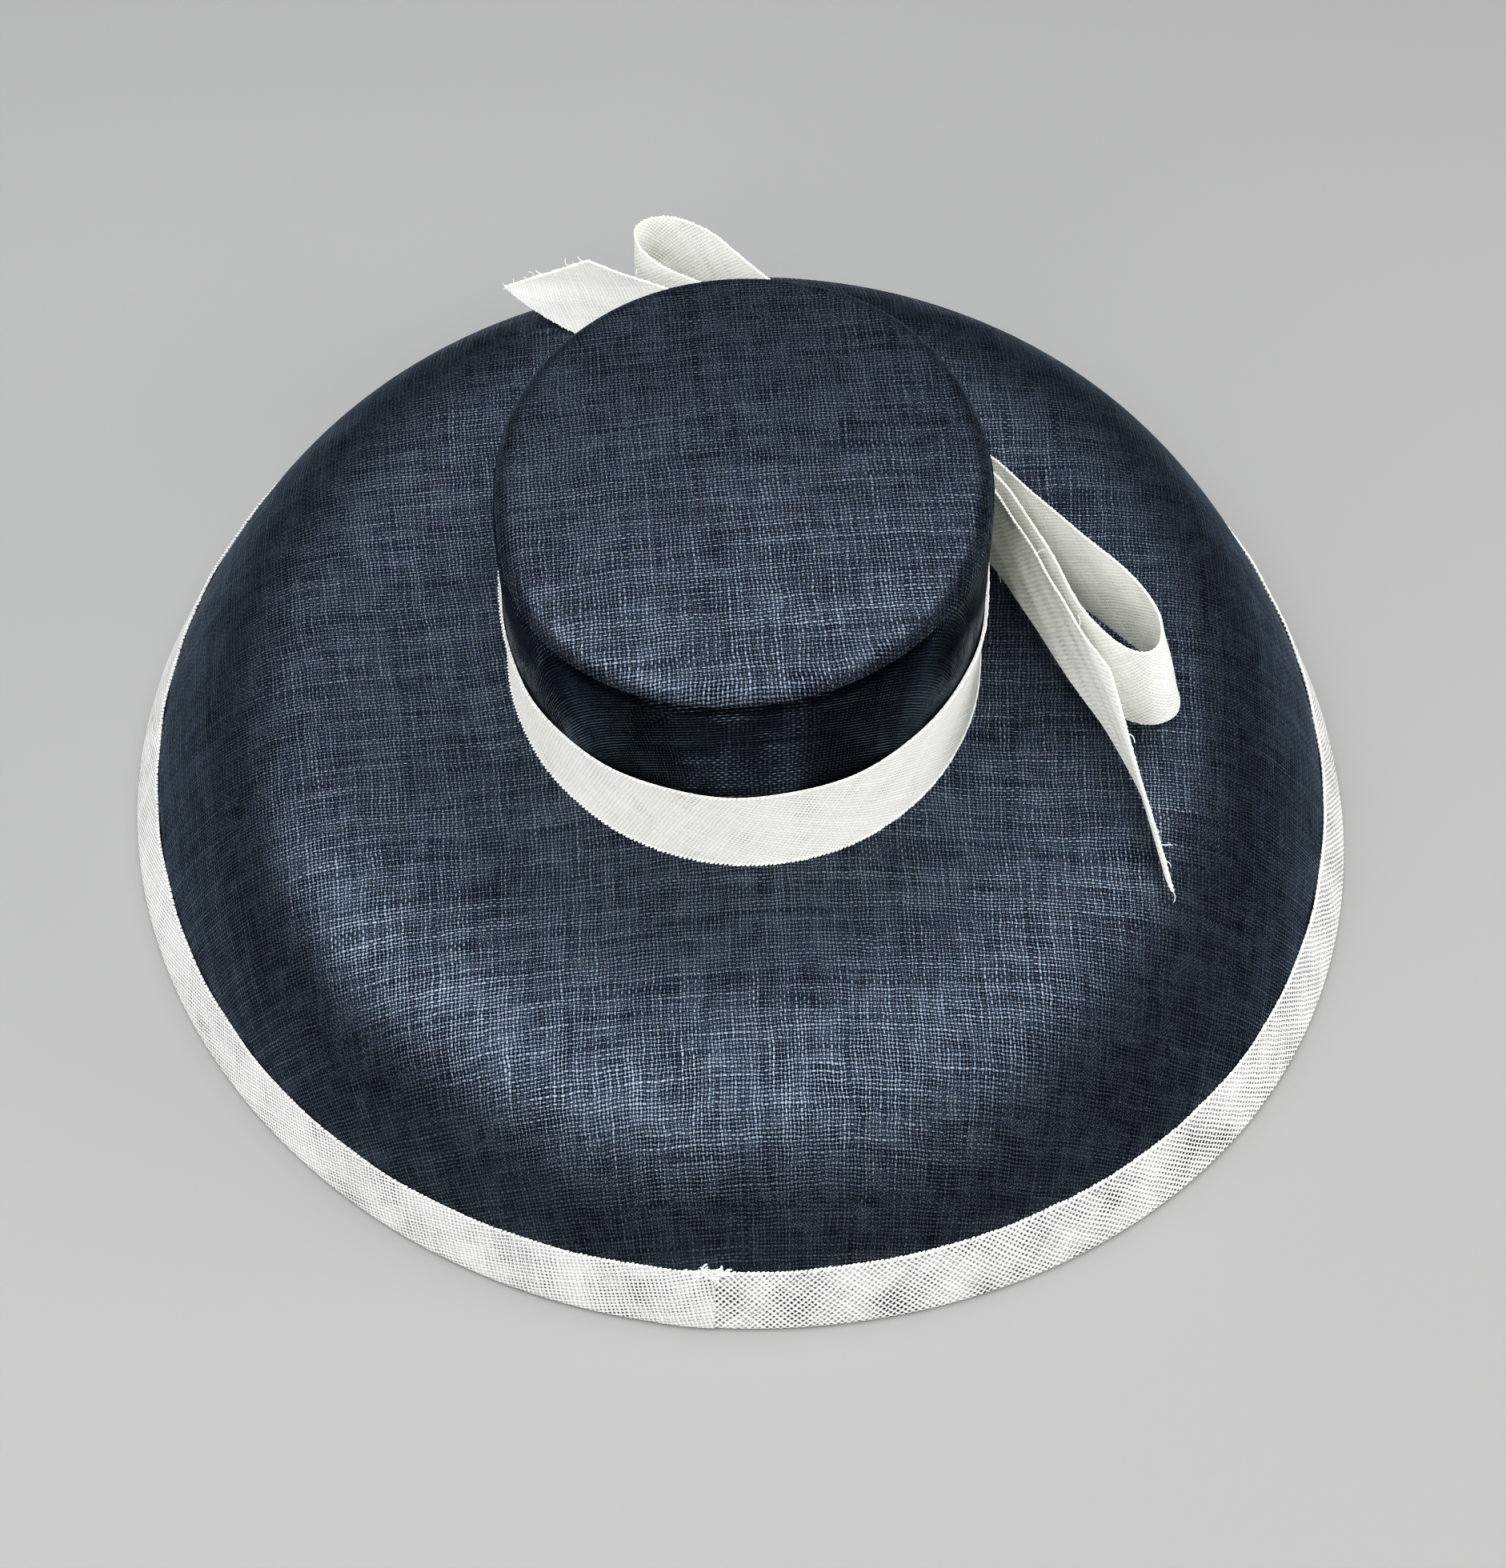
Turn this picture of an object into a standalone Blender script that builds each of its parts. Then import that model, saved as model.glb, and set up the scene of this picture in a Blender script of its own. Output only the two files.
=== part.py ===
"""Wide-brimmed dress hat of stiff woven straw cloth: a flat-topped oval crown, a brim that runs
flat and then turns down, a folded strip around the brim's edge, a band and a ribbon bow.

Metres, +Z up. The hat stands on the rim of its brim at z = 0, with its front towards +Y, its back
towards -Y and the wearer's right towards +X. The origin is the middle of the rim."""

import math

import bmesh
import bpy
from mathutils import Vector

# Cloth and the clearance between pieces
CLOTH = 0.0015
RIBBON_CLOTH = 0.0010
GAP = 0.00035

# Head opening: the inside of the brim's collar, an oval for a head of 57 cm around
HEAD_HALF_WIDTH = 0.0835
HEAD_HALF_LENGTH = 0.0965
HEAD_X = 0.0040
HEAD_Y = -0.0020
COLLAR_HEIGHT = 0.014

# Crown, measured above the brim line
CROWN_HEIGHT = 0.0930
CROWN_FLARE = 0.0010
CROWN_CORNER = 0.0085
TIP_DOME = 0.0035
TIP_TILT = math.radians(1.5)

# Brim
BRIM_HALF_WIDTH = 0.2345
BRIM_HALF_LENGTH = 0.2475
BRIM_DROP = 0.066
BRIM_START_FALL = math.radians(2.5)
BRIM_RIM_FALL = math.radians(68.0)
FLAT_REACH = 0.48
TURN_REACH = 0.775

# Edge binding, hat band and bow ribbon
BINDING_WIDTH = 0.023
BINDING_REST = math.radians(20.0)
BAND_HEIGHT = 0.040
RIBBON_WIDTH = 0.042
BOW_BEARING = math.radians(47.0)
BOW_LIFT = 0.0065
KNOT_HEIGHT = 0.030
KNOT_LENGTH = 0.020
KNOT_CLOTH = 0.0012
ARM_SWEEP_RIGHT = math.radians(5.0)
ARM_SWEEP_LEFT = math.radians(2.0)
LOOP_LENGTH = 0.148
LOOP_WIDTH = 0.028
TAIL_LENGTH_RIGHT = 0.204
TAIL_LENGTH_LEFT = 0.191
TAIL_PEEL = 0.056
TAIL_CUT_RIGHT = 0.061
TAIL_CUT_LEFT = 0.050

# Facets
AROUND = 60
EDGE_STEPS = 3
BAND_STEPS = 2
LOOP_STEPS = 38
TAIL_STEPS = 18
RIBBON_ROWS = 2

# How the blocked cloth departs from true ovals, by bearing from +X towards +Y.
# reach is a share of the brim's half size, fall a share of the rim's fall, and
# crown a share of the crown's half size at the tip.
AROUND_TABLE = [
    {"bearing": 0, "reach": 1.000, "fall": 0.99, "crown": 1.000},
    {"bearing": 45, "reach": 0.974, "fall": 1.11, "crown": 1.018},
    {"bearing": 90, "reach": 1.000, "fall": 0.94, "crown": 1.000},
    {"bearing": 135, "reach": 0.997, "fall": 0.97, "crown": 1.000},
    {"bearing": 180, "reach": 1.000, "fall": 0.93, "crown": 0.985},
    {"bearing": 225, "reach": 0.988, "fall": 1.12, "crown": 1.050},
    {"bearing": 270, "reach": 1.000, "fall": 1.01, "crown": 1.000},
    {"bearing": 315, "reach": 1.034, "fall": 0.94, "crown": 1.000},
]

# Where the brim's upper surface is cut into facets, as shares of its length inside the binding
BRIM_SHARES = [0.0, 0.16, 0.32, 0.47, 0.60, 0.71, 0.80, 0.88, 0.94, 1.0]

# Bow ribbons in plan. along is a share of the loop's length from the knot, or of the tail's,
# and aside is a share of the loop's width or of the tail's peel, positive away from the crown.
# lean is how far the ribbon's top edge tips away from the crown, splay how far its foot runs
# beyond its top edge and sink how far it drops, all three as shares of the ribbon's width.
RIGHT_LOOP = [
    {"along": 0, "aside": 0.05, "lean": 0, "splay": 0},
    {"along": 0.14, "aside": 0.08, "lean": 0, "splay": 0},
    {"along": 0.28, "aside": 0.12, "lean": 0, "splay": 0},
    {"along": 0.44, "aside": 0.09, "lean": -0.05, "splay": 0},
    {"along": 0.59, "aside": 0.12, "lean": -0.1, "splay": 0},
    {"along": 0.74, "aside": 0.15, "lean": -0.14, "splay": 0.03},
    {"along": 0.86, "aside": 0.12, "lean": -0.18, "splay": 0.1},
    {"along": 0.95, "aside": -0.02, "lean": -0.2, "splay": 0.18},
    {"along": 1, "aside": -0.29, "lean": -0.22, "splay": 0.15},
    {"along": 1, "aside": -0.55, "lean": -0.16, "splay": 0.1},
    {"along": 0.97, "aside": -0.72, "lean": -0.12, "splay": 0.04},
    {"along": 0.91, "aside": -0.82, "lean": -0.1, "splay": 0},
    {"along": 0.82, "aside": -0.8, "lean": -0.08, "splay": 0},
    {"along": 0.73, "aside": -0.68, "lean": -0.06, "splay": 0},
    {"along": 0.61, "aside": -0.45, "lean": -0.04, "splay": 0},
    {"along": 0.45, "aside": -0.2, "lean": -0.02, "splay": 0},
    {"along": 0.32, "aside": -0.07, "lean": 0, "splay": 0},
    {"along": 0.19, "aside": -0.01, "lean": 0, "splay": 0},
    {"along": 0.08, "aside": 0, "lean": 0, "splay": 0},
    {"along": 0, "aside": 0, "lean": 0, "splay": 0},
]
LEFT_LOOP = [
    {"along": 0, "aside": 0.05, "lean": 0, "splay": 0},
    {"along": 0.14, "aside": 0.11, "lean": 0, "splay": 0},
    {"along": 0.3, "aside": 0.23, "lean": 0, "splay": 0},
    {"along": 0.47, "aside": 0.36, "lean": 0, "splay": 0},
    {"along": 0.59, "aside": 0.43, "lean": 0, "splay": 0},
    {"along": 0.7, "aside": 0.51, "lean": 0, "splay": 0},
    {"along": 0.8, "aside": 0.55, "lean": 0, "splay": 0.01},
    {"along": 0.9, "aside": 0.45, "lean": 0, "splay": 0.02},
    {"along": 0.95, "aside": 0.23, "lean": 0, "splay": 0.03},
    {"along": 0.96, "aside": -0.02, "lean": 0, "splay": 0.03},
    {"along": 0.94, "aside": -0.2, "lean": 0, "splay": 0.02},
    {"along": 0.88, "aside": -0.37, "lean": 0, "splay": 0.01},
    {"along": 0.79, "aside": -0.4, "lean": 0, "splay": 0},
    {"along": 0.71, "aside": -0.33, "lean": 0, "splay": 0},
    {"along": 0.59, "aside": -0.19, "lean": 0, "splay": 0},
    {"along": 0.45, "aside": -0.07, "lean": 0, "splay": 0},
    {"along": 0.3, "aside": -0.02, "lean": 0, "splay": 0},
    {"along": 0.14, "aside": 0, "lean": 0, "splay": 0},
    {"along": 0, "aside": 0, "lean": 0, "splay": 0},
]
RIGHT_TAIL = [
    {"along": 0, "aside": -0.024, "lean": 0, "sink": 0},
    {"along": 0.1, "aside": -0.034, "lean": 0, "sink": 0},
    {"along": 0.2, "aside": -0.072, "lean": -0.02, "sink": 0},
    {"along": 0.3, "aside": -0.15, "lean": -0.07, "sink": 0},
    {"along": 0.4, "aside": -0.25, "lean": -0.09, "sink": 0},
    {"along": 0.5, "aside": -0.37, "lean": -0.11, "sink": 0},
    {"along": 0.6, "aside": -0.48, "lean": -0.15, "sink": 0},
    {"along": 0.7, "aside": -0.58, "lean": -0.15, "sink": -0.01},
    {"along": 0.8, "aside": -0.69, "lean": -0.1, "sink": -0.01},
    {"along": 0.9, "aside": -0.85, "lean": -0.05, "sink": 0.01},
    {"along": 1, "aside": -1.04, "lean": 0, "sink": 0.07},
]
LEFT_TAIL = [
    {"along": 0, "aside": -0.024, "lean": 0, "sink": 0},
    {"along": 0.1, "aside": -0.03, "lean": 0, "sink": 0},
    {"along": 0.2, "aside": -0.06, "lean": 0, "sink": 0},
    {"along": 0.3, "aside": -0.12, "lean": 0, "sink": 0},
    {"along": 0.4, "aside": -0.2, "lean": 0, "sink": 0},
    {"along": 0.5, "aside": -0.29, "lean": 0, "sink": 0},
    {"along": 0.6, "aside": -0.39, "lean": 0, "sink": 0},
    {"along": 0.7, "aside": -0.49, "lean": 0, "sink": 0},
    {"along": 0.8, "aside": -0.57, "lean": 0, "sink": 0},
    {"along": 0.9, "aside": -0.6, "lean": 0, "sink": 0},
    {"along": 1, "aside": -0.57, "lean": 0, "sink": 0.02},
]

# Sizes that follow from the ones above
BINDING_REACH = GAP + RIBBON_CLOTH
BINDING_ROUND = CLOTH / 2 + BINDING_REACH
RIM_HEIGHT = BINDING_ROUND * math.cos(BINDING_REST)
BRIM_LINE = RIM_HEIGHT + BRIM_DROP
CROWN_WALL = CLOTH + GAP + CLOTH
WALL_HEIGHT = CROWN_HEIGHT - CROWN_CORNER
KNOT_HALF_ROOM = 1.5 * RIBBON_CLOTH + 2 * GAP


def clear_scene():
    for item in list(bpy.data.objects):
        bpy.data.objects.remove(item, do_unlink=True)


def make_material(name, color, roughness):
    material = bpy.data.materials.new(name)
    material.use_nodes = True
    shader = material.node_tree.nodes["Principled BSDF"]
    shader.inputs["Base Color"].default_value = (*color, 1.0)
    shader.inputs["Roughness"].default_value = roughness
    shader.inputs["Metallic"].default_value = 0.0
    return material


def cubic(before, start, end, after, share):
    """A smooth value between start and end that also heeds the values on either side."""
    slope_in = (end - before) / 2
    slope_out = (after - start) / 2
    s2 = share * share
    s3 = s2 * share
    return (
        (2 * s3 - 3 * s2 + 1) * start
        + (s3 - 2 * s2 + share) * slope_in
        + (3 * s2 - 2 * s3) * end
        + (s3 - s2) * slope_out
    )


def around(column, bearing):
    """A column of AROUND_TABLE at any bearing, smooth all the way round."""
    count = len(AROUND_TABLE)
    place = (bearing % math.tau) / math.tau * count
    index = int(place)
    values = [AROUND_TABLE[(index + step) % count][column] for step in (-1, 0, 1, 2)]
    return cubic(*values, place - index)


def along_rows(rows, column, place):
    """A column of an open table at place, which runs from 0 at the first row to 1 at the last."""
    last = len(rows) - 1
    spot = min(place, 1.0) * last
    index = min(int(spot), last - 1)
    picks = [min(max(index + step, 0), last) for step in (-1, 0, 1, 2)]
    return cubic(*(rows[pick][column] for pick in picks), spot - index)


def oval_radius(half_width, half_length, bearing):
    return 1 / math.hypot(math.cos(bearing) / half_width, math.sin(bearing) / half_length)


def head_point(outset, bearing, height):
    """A point outset from the head opening's oval."""
    radius = oval_radius(HEAD_HALF_WIDTH + outset, HEAD_HALF_LENGTH + outset, bearing)
    return Vector((HEAD_X + radius * math.cos(bearing), HEAD_Y + radius * math.sin(bearing), height))


def bearings():
    return [math.tau * step / AROUND for step in range(AROUND)]


def loft(name, rows, material, closed_around=True, cap_last=False):
    """A surface through rows of points, with its outside on the left of the rows' direction."""
    mesh = bpy.data.meshes.new(name)
    build = bmesh.new()
    grid = [[build.verts.new(point) for point in row] for row in rows]
    across = len(rows[0])
    for lower, upper in zip(grid, grid[1:]):
        for step in range(across if closed_around else across - 1):
            nxt = (step + 1) % across
            build.faces.new((lower[step], lower[nxt], upper[nxt], upper[step]))
    if cap_last:
        middle = sum((vert.co for vert in grid[-1]), Vector()) / across
        hub = build.verts.new(middle)
        for step in range(across):
            build.faces.new((grid[-1][step], grid[-1][(step + 1) % across], hub))
    build.to_mesh(mesh)
    build.free()
    mesh.materials.append(material)
    return bpy.data.objects.new(name, mesh)


def thicken(item, thickness, offset):
    """Gives an open surface its wall. offset -1 builds it inwards, 0 on both sides."""
    wall = item.modifiers.new("wall", "SOLIDIFY")
    wall.thickness = thickness
    wall.offset = offset
    wall.use_even_offset = True
    wall.use_rim = True
    return item


def brim_profile(bearing):
    """The brim's upper surface along one bearing: a function of share 0 to 1, from the head
    line to the rim, that gives the point and the upward normal."""
    start = head_point(CLOTH, bearing, BRIM_LINE)
    reach = oval_radius(BRIM_HALF_WIDTH, BRIM_HALF_LENGTH, bearing) * around("reach", bearing)
    fall = BRIM_RIM_FALL * around("fall", bearing)
    run_out = BINDING_ROUND
    rim_height = RIM_HEIGHT + CLOTH / 2 * math.cos(fall)
    rim = Vector(((reach - run_out) * math.cos(bearing), (reach - run_out) * math.sin(bearing), rim_height))
    level = Vector((rim.x - start.x, rim.y - start.y, 0))
    length = level.length
    out = level.normalized()
    up = Vector((0, 0, 1))
    first = start + (out * math.cos(BRIM_START_FALL) - up * math.sin(BRIM_START_FALL)) * length * FLAT_REACH
    second = rim - (out * math.cos(fall) - up * math.sin(fall)) * length * TURN_REACH

    def at(share):
        rest = 1 - share
        point = (
            start * rest**3
            + first * 3 * rest**2 * share
            + second * 3 * rest * share**2
            + rim * share**3
        )
        run = (
            (first - start) * rest**2 + (second - first) * 2 * rest * share + (rim - second) * share**2
        ).normalized()
        normal = up * run.dot(out) - out * run.z
        return point, normal

    return at


def brim_stations(bearing):
    """Points and normals of the brim's upper surface at the facet rows, the last EDGE_STEPS of
    them under the binding."""
    at = brim_profile(bearing)
    fine = 240
    points = [at(step / fine)[0] for step in range(fine + 1)]
    lengths = [0.0]
    for one, two in zip(points, points[1:]):
        lengths.append(lengths[-1] + (two - one).length)
    inside = lengths[-1] - BINDING_WIDTH
    wanted = [inside * share for share in BRIM_SHARES]
    wanted += [inside + BINDING_WIDTH * step / EDGE_STEPS for step in range(1, EDGE_STEPS + 1)]
    stations = []
    spot = 0
    for length in wanted:
        while spot < fine - 1 and lengths[spot + 1] < length:
            spot += 1
        share = (length - lengths[spot]) / (lengths[spot + 1] - lengths[spot])
        stations.append(at((spot + min(max(share, 0.0), 1.0)) / fine))
    return stations


def make_brim(material):
    """The collar inside the crown, the flat run and the turned-down edge, as one sheet."""
    columns = []
    for bearing in bearings():
        points = [head_point(CLOTH, bearing, BRIM_LINE + COLLAR_HEIGHT)]
        points += [point for point, _ in brim_stations(bearing)]
        columns.append(points)
    rows = [list(row) for row in zip(*columns)]
    return thicken(loft("brim", rows[::-1], material), CLOTH, -1)


def make_binding(material):
    """A strip folded round the rim, with a narrow flat underneath that the hat stands on."""
    columns = []
    for bearing in bearings():
        edge = brim_stations(bearing)[-EDGE_STEPS - 1:]
        rim, normal = edge[-1]
        out = Vector((math.cos(bearing), math.sin(bearing), 0))
        hub = rim - normal * CLOTH / 2
        top_angle = math.atan2(normal.z, Vector((normal.x, normal.y, 0)).length)
        flat_start = -math.pi / 2 + BINDING_REST
        flat_end = -math.pi / 2 - BINDING_REST
        turns = [(top_angle + flat_start) / 2, flat_start, flat_end, (flat_end + top_angle - math.pi) / 2]
        side = Vector((normal.x, normal.y, 0)).normalized()
        if side.length < 0.5:
            side = out
        points = [spot + face * BINDING_REACH for spot, face in edge]
        points += [
            hub + (side * math.cos(turn) + Vector((0, 0, 1)) * math.sin(turn)) * BINDING_ROUND
            for turn in turns
        ]
        points += [spot - face * (CLOTH + BINDING_REACH) for spot, face in reversed(edge)]
        columns.append(points)
    rows = [list(row) for row in zip(*columns)]
    return thicken(loft("brim_binding", rows[::-1], material), RIBBON_CLOTH, -1)


def crown_outset(bearing, share):
    """How far the crown's wall stands outside the head oval, at a share of its height."""
    half = oval_radius(HEAD_HALF_WIDTH, HEAD_HALF_LENGTH, bearing)
    return CROWN_WALL + share * (CROWN_FLARE + half * (around("crown", bearing) - 1))


def make_crown(material):
    """Straight walls, a tight corner and a nearly flat tip."""
    seat = BRIM_LINE + GAP
    wall_shares = [0.0, 0.34, 0.68, 1.0]
    corner_turns = [math.radians(30), math.radians(60), math.radians(90)]
    tip_shares = [0.72, 0.36]
    columns = []
    for bearing in bearings():
        out = Vector((math.cos(bearing), math.sin(bearing), 0))
        wall_top = seat + CROWN_HEIGHT - CROWN_CORNER
        points = [
            head_point(crown_outset(bearing, share), bearing, seat + (wall_top - seat) * share)
            for share in wall_shares
        ]
        hub = points[-1] - out * CROWN_CORNER
        points += [hub + out * CROWN_CORNER * math.cos(turn) + Vector((0, 0, CROWN_CORNER * math.sin(turn)))
                   for turn in corner_turns]
        middle = Vector((HEAD_X, HEAD_Y, points[-1].z))
        tip_edge = points[-1]
        for share in tip_shares:
            points.append(middle + (tip_edge - middle) * share + Vector((0, 0, TIP_DOME * (1 - share**2))))
        for point in points:
            lift = (point.z - seat) / CROWN_HEIGHT
            point.z += math.tan(TIP_TILT) * (point.x - HEAD_X) * lift
        columns.append(points)
    rows = [list(row) for row in zip(*columns)]
    return thicken(loft("crown", rows, material, cap_last=True), CLOTH, -1)


def make_band(material):
    """The strip around the foot of the crown, which follows the crown's wall."""
    seat = BRIM_LINE + GAP
    columns = []
    for bearing in bearings():
        column = []
        for step in range(BAND_STEPS + 1):
            height = BAND_HEIGHT * step / BAND_STEPS
            outset = crown_outset(bearing, height / WALL_HEIGHT) + GAP + RIBBON_CLOTH
            point = head_point(outset, bearing, seat + height)
            point.z += math.tan(TIP_TILT) * (point.x - HEAD_X) * height / CROWN_HEIGHT
            column.append(point)
        columns.append(column)
    rows = [list(row) for row in zip(*columns)]
    return thicken(loft("hat_band", rows, material), RIBBON_CLOTH, -1)


def knot_frame():
    """The knot's middle on the band, the way out from the crown and the way to the right arm."""
    band_bulge = (KNOT_LENGTH / 2) ** 2 / (2 * HEAD_HALF_WIDTH)
    band_outset = crown_outset(BOW_BEARING, BAND_HEIGHT / WALL_HEIGHT) + GAP + RIBBON_CLOTH
    knot_outset = band_outset + band_bulge + 2 * GAP + KNOT_CLOTH + KNOT_HALF_ROOM
    middle = head_point(knot_outset, BOW_BEARING, BRIM_LINE + BOW_LIFT + RIBBON_WIDTH / 2)
    step = 0.01
    ahead = head_point(knot_outset, BOW_BEARING - step, 0)
    behind = head_point(knot_outset, BOW_BEARING + step, 0)
    right = (ahead - behind).normalized()
    out = Vector((-right.y, right.x, 0))
    return middle, out, right


def pinch(distance):
    """The ribbon's height as a share of its full width, drawn in where the knot holds it."""
    open_at = 0.05
    held = KNOT_HEIGHT / RIBBON_WIDTH
    share = min(max((distance - KNOT_LENGTH / 2) / open_at, 0.0), 1.0)
    return held + (1 - held) * share * share * (3 - 2 * share)


def ribbon_sheet(name, spines, material):
    """A ribbon through (bottom, top) pairs of points."""
    rows = []
    for bottom, top in spines:
        rows.append([bottom.lerp(top, step / RIBBON_ROWS) for step in range(RIBBON_ROWS + 1)])
    return thicken(loft(name, rows, material, closed_around=False), RIBBON_CLOTH, 0)


def arm_axes(side):
    """The directions along and aside of the bow's arm: side is 1 for the right, -1 for the left."""
    _, out, right = knot_frame()
    sweep = ARM_SWEEP_RIGHT if side > 0 else ARM_SWEEP_LEFT
    along = right * side * math.cos(sweep) - out * math.sin(sweep)
    aside = out * math.cos(sweep) + right * side * math.sin(sweep)
    return along, aside


def place_on_arm(side, distance, aside_distance):
    """A point of the bow in plan. Inside the knot the arm runs straight, and it is swept beyond."""
    middle, out, right = knot_frame()
    along, aside = arm_axes(side)
    hinge = KNOT_LENGTH / 2
    if distance <= hinge:
        return middle + right * side * distance + out * aside_distance
    blend = min((distance - hinge) / hinge, 1.0)
    across = out.lerp(aside, blend).normalized()
    return middle + right * side * hinge + along * (distance - hinge) + across * aside_distance


def make_loop(name, side, rows, material):
    """A loop that leaves the knot as its outer layer and comes back as its middle one."""
    start = GAP * 2
    along, aside = arm_axes(side)
    spines = []
    for step in range(LOOP_STEPS + 1):
        place = step / LOOP_STEPS
        distance = start + along_rows(rows, "along", place) * LOOP_LENGTH
        aside_distance = along_rows(rows, "aside", place) * LOOP_WIDTH
        middle = place_on_arm(side, distance, aside_distance)
        half = Vector((0, 0, RIBBON_WIDTH / 2 * pinch(distance)))
        half += aside * along_rows(rows, "lean", place) * RIBBON_WIDTH / 2
        half -= along * along_rows(rows, "splay", place) * RIBBON_WIDTH / 2
        spines.append((middle - half, middle + half))
    return ribbon_sheet(name, spines, material)


def make_tail(name, side, rows, length, cut, material):
    """A free end that peels away towards the crown, cut slantwise so that its foot is longest."""
    start = GAP * 2
    _, aside = arm_axes(side)
    spines = []
    for step in range(TAIL_STEPS + 1):
        ends = []
        for edge, reach in ((-1, length), (1, length - cut)):
            place = step / TAIL_STEPS * reach / length
            distance = start + place * length
            middle = place_on_arm(side, distance, along_rows(rows, "aside", place) * TAIL_PEEL)
            half = Vector((0, 0, RIBBON_WIDTH / 2 * pinch(distance)))
            half += aside * along_rows(rows, "lean", place) * RIBBON_WIDTH / 2
            sink = Vector((0, 0, along_rows(rows, "sink", place) * RIBBON_WIDTH))
            ends.append(middle + half * edge - sink)
        spines.append(tuple(ends))
    return ribbon_sheet(name, spines, material)


def make_knot(material):
    """The short strip wrapped round the middle of the bow, open at both ends."""
    middle, out, right = knot_frame()
    half_height = KNOT_HEIGHT / 2 + GAP
    outer_side = KNOT_HALF_ROOM + KNOT_CLOTH
    outer_height = half_height + KNOT_CLOTH
    corner = outer_side * 0.8
    outline = []
    for sign_out, sign_up, start in ((1, 1, 0), (-1, 1, 90), (-1, -1, 180), (1, -1, 270)):
        for turn in (start, start + 45, start + 90):
            angle = math.radians(turn)
            outline.append((
                sign_out * (outer_side - corner) + corner * math.cos(angle),
                sign_up * (outer_height - corner) + corner * math.sin(angle),
            ))
    rows = []
    for step in range(3):
        shift = right * KNOT_LENGTH * (0.5 - step / 2)
        rows.append([middle + shift + out * aside + Vector((0, 0, up)) for aside, up in outline])
    return thicken(loft("bow_knot", rows, material), KNOT_CLOTH, -1)


def main():
    clear_scene()
    navy = make_material("navy_straw_cloth", (0.012, 0.018, 0.042), 0.55)
    ivory = make_material("ivory_straw_cloth", (0.80, 0.80, 0.74), 0.6)
    hat = bpy.data.collections.new("wide_brimmed_hat")
    bpy.context.scene.collection.children.link(hat)
    pieces = [
        make_crown(navy),
        make_brim(navy),
        make_binding(ivory),
        make_band(ivory),
        make_knot(ivory),
        make_loop("bow_loop_right", 1, RIGHT_LOOP, ivory),
        make_loop("bow_loop_left", -1, LEFT_LOOP, ivory),
        make_tail("bow_tail_right", 1, RIGHT_TAIL, TAIL_LENGTH_RIGHT, TAIL_CUT_RIGHT, ivory),
        make_tail("bow_tail_left", -1, LEFT_TAIL, TAIL_LENGTH_LEFT, TAIL_CUT_LEFT, ivory),
    ]
    for piece in pieces:
        hat.objects.link(piece)
        piece.data.shade_smooth()
        piece.data.set_sharp_from_angle(angle=math.radians(40))


main()
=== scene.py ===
import math

import bpy
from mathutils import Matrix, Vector


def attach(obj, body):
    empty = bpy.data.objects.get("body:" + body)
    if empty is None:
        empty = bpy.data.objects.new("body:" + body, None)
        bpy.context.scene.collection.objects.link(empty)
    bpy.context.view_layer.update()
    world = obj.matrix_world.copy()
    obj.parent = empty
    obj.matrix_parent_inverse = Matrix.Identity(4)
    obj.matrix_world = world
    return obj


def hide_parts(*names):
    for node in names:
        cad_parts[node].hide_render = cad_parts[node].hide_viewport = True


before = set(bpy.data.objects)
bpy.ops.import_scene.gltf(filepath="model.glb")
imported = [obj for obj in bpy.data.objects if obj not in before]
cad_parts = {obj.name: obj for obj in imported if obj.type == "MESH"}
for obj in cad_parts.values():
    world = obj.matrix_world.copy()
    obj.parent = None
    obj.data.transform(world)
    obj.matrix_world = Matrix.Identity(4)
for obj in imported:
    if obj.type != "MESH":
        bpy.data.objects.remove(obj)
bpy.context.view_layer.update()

# Wide brim dress hat of stiff open straw cloth, standing on the folded edge of its brim.
# Back of the hat towards -Y, wearer's right towards +X, metres.

# sizes that several pieces share
hat = {
    "cloth": 0.0015,            # wall that the blocked shapes were drawn with
    "ribbonCloth": 0.0010,
    "gap": 0.00035,
    "headHalfWidth": 0.0835,
    "headHalfLength": 0.0965,
    "headX": 0.0040,
    "headY": -0.0020,
    "brimDrop": 0.066,
    "restAngle": math.radians(20.0),
    "sharpFrom": math.radians(55.0),    # edges of the thickened cloth that stay sharp
}
hat["reach"] = hat["gap"] + hat["ribbonCloth"]
hat["roll"] = hat["cloth"] / 2 + hat["reach"]
hat["rimHeight"] = hat["roll"] * math.cos(hat["restAngle"])
hat["brimLine"] = hat["rimHeight"] + hat["brimDrop"]
hat["seat"] = hat["brimLine"] + hat["gap"]
hat["crownWall"] = 2 * hat["cloth"] + hat["gap"]


def namedRows(names, rows):
    return [dict(zip(names.split(), row)) for row in rows]


# how the blocked cloth departs from true ovals, at every eighth turn from +X towards +Y
blockShape = namedRows("reach fall crown", [
    (1.000, 0.99, 1.000), (0.974, 1.11, 1.018), (1.000, 0.94, 1.000), (0.997, 0.97, 1.000),
    (1.000, 0.93, 0.985), (0.988, 1.12, 1.050), (1.000, 1.01, 1.000), (1.034, 0.94, 1.000),
])


def easeBetween(before, start, end, after, share):
    slopeIn = (end - before) / 2
    slopeOut = (after - start) / 2
    s2 = share * share
    s3 = s2 * share
    return ((2 * s3 - 3 * s2 + 1) * start + (s3 - 2 * s2 + share) * slopeIn
            + (3 * s2 - 2 * s3) * end + (s3 - s2) * slopeOut)


def byBearing(column, bearing):
    count = len(blockShape)
    place = (bearing % math.tau) / math.tau * count
    index = int(place)
    values = [blockShape[(index + step) % count][column] for step in (-1, 0, 1, 2)]
    return easeBetween(*values, place - index)


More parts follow.
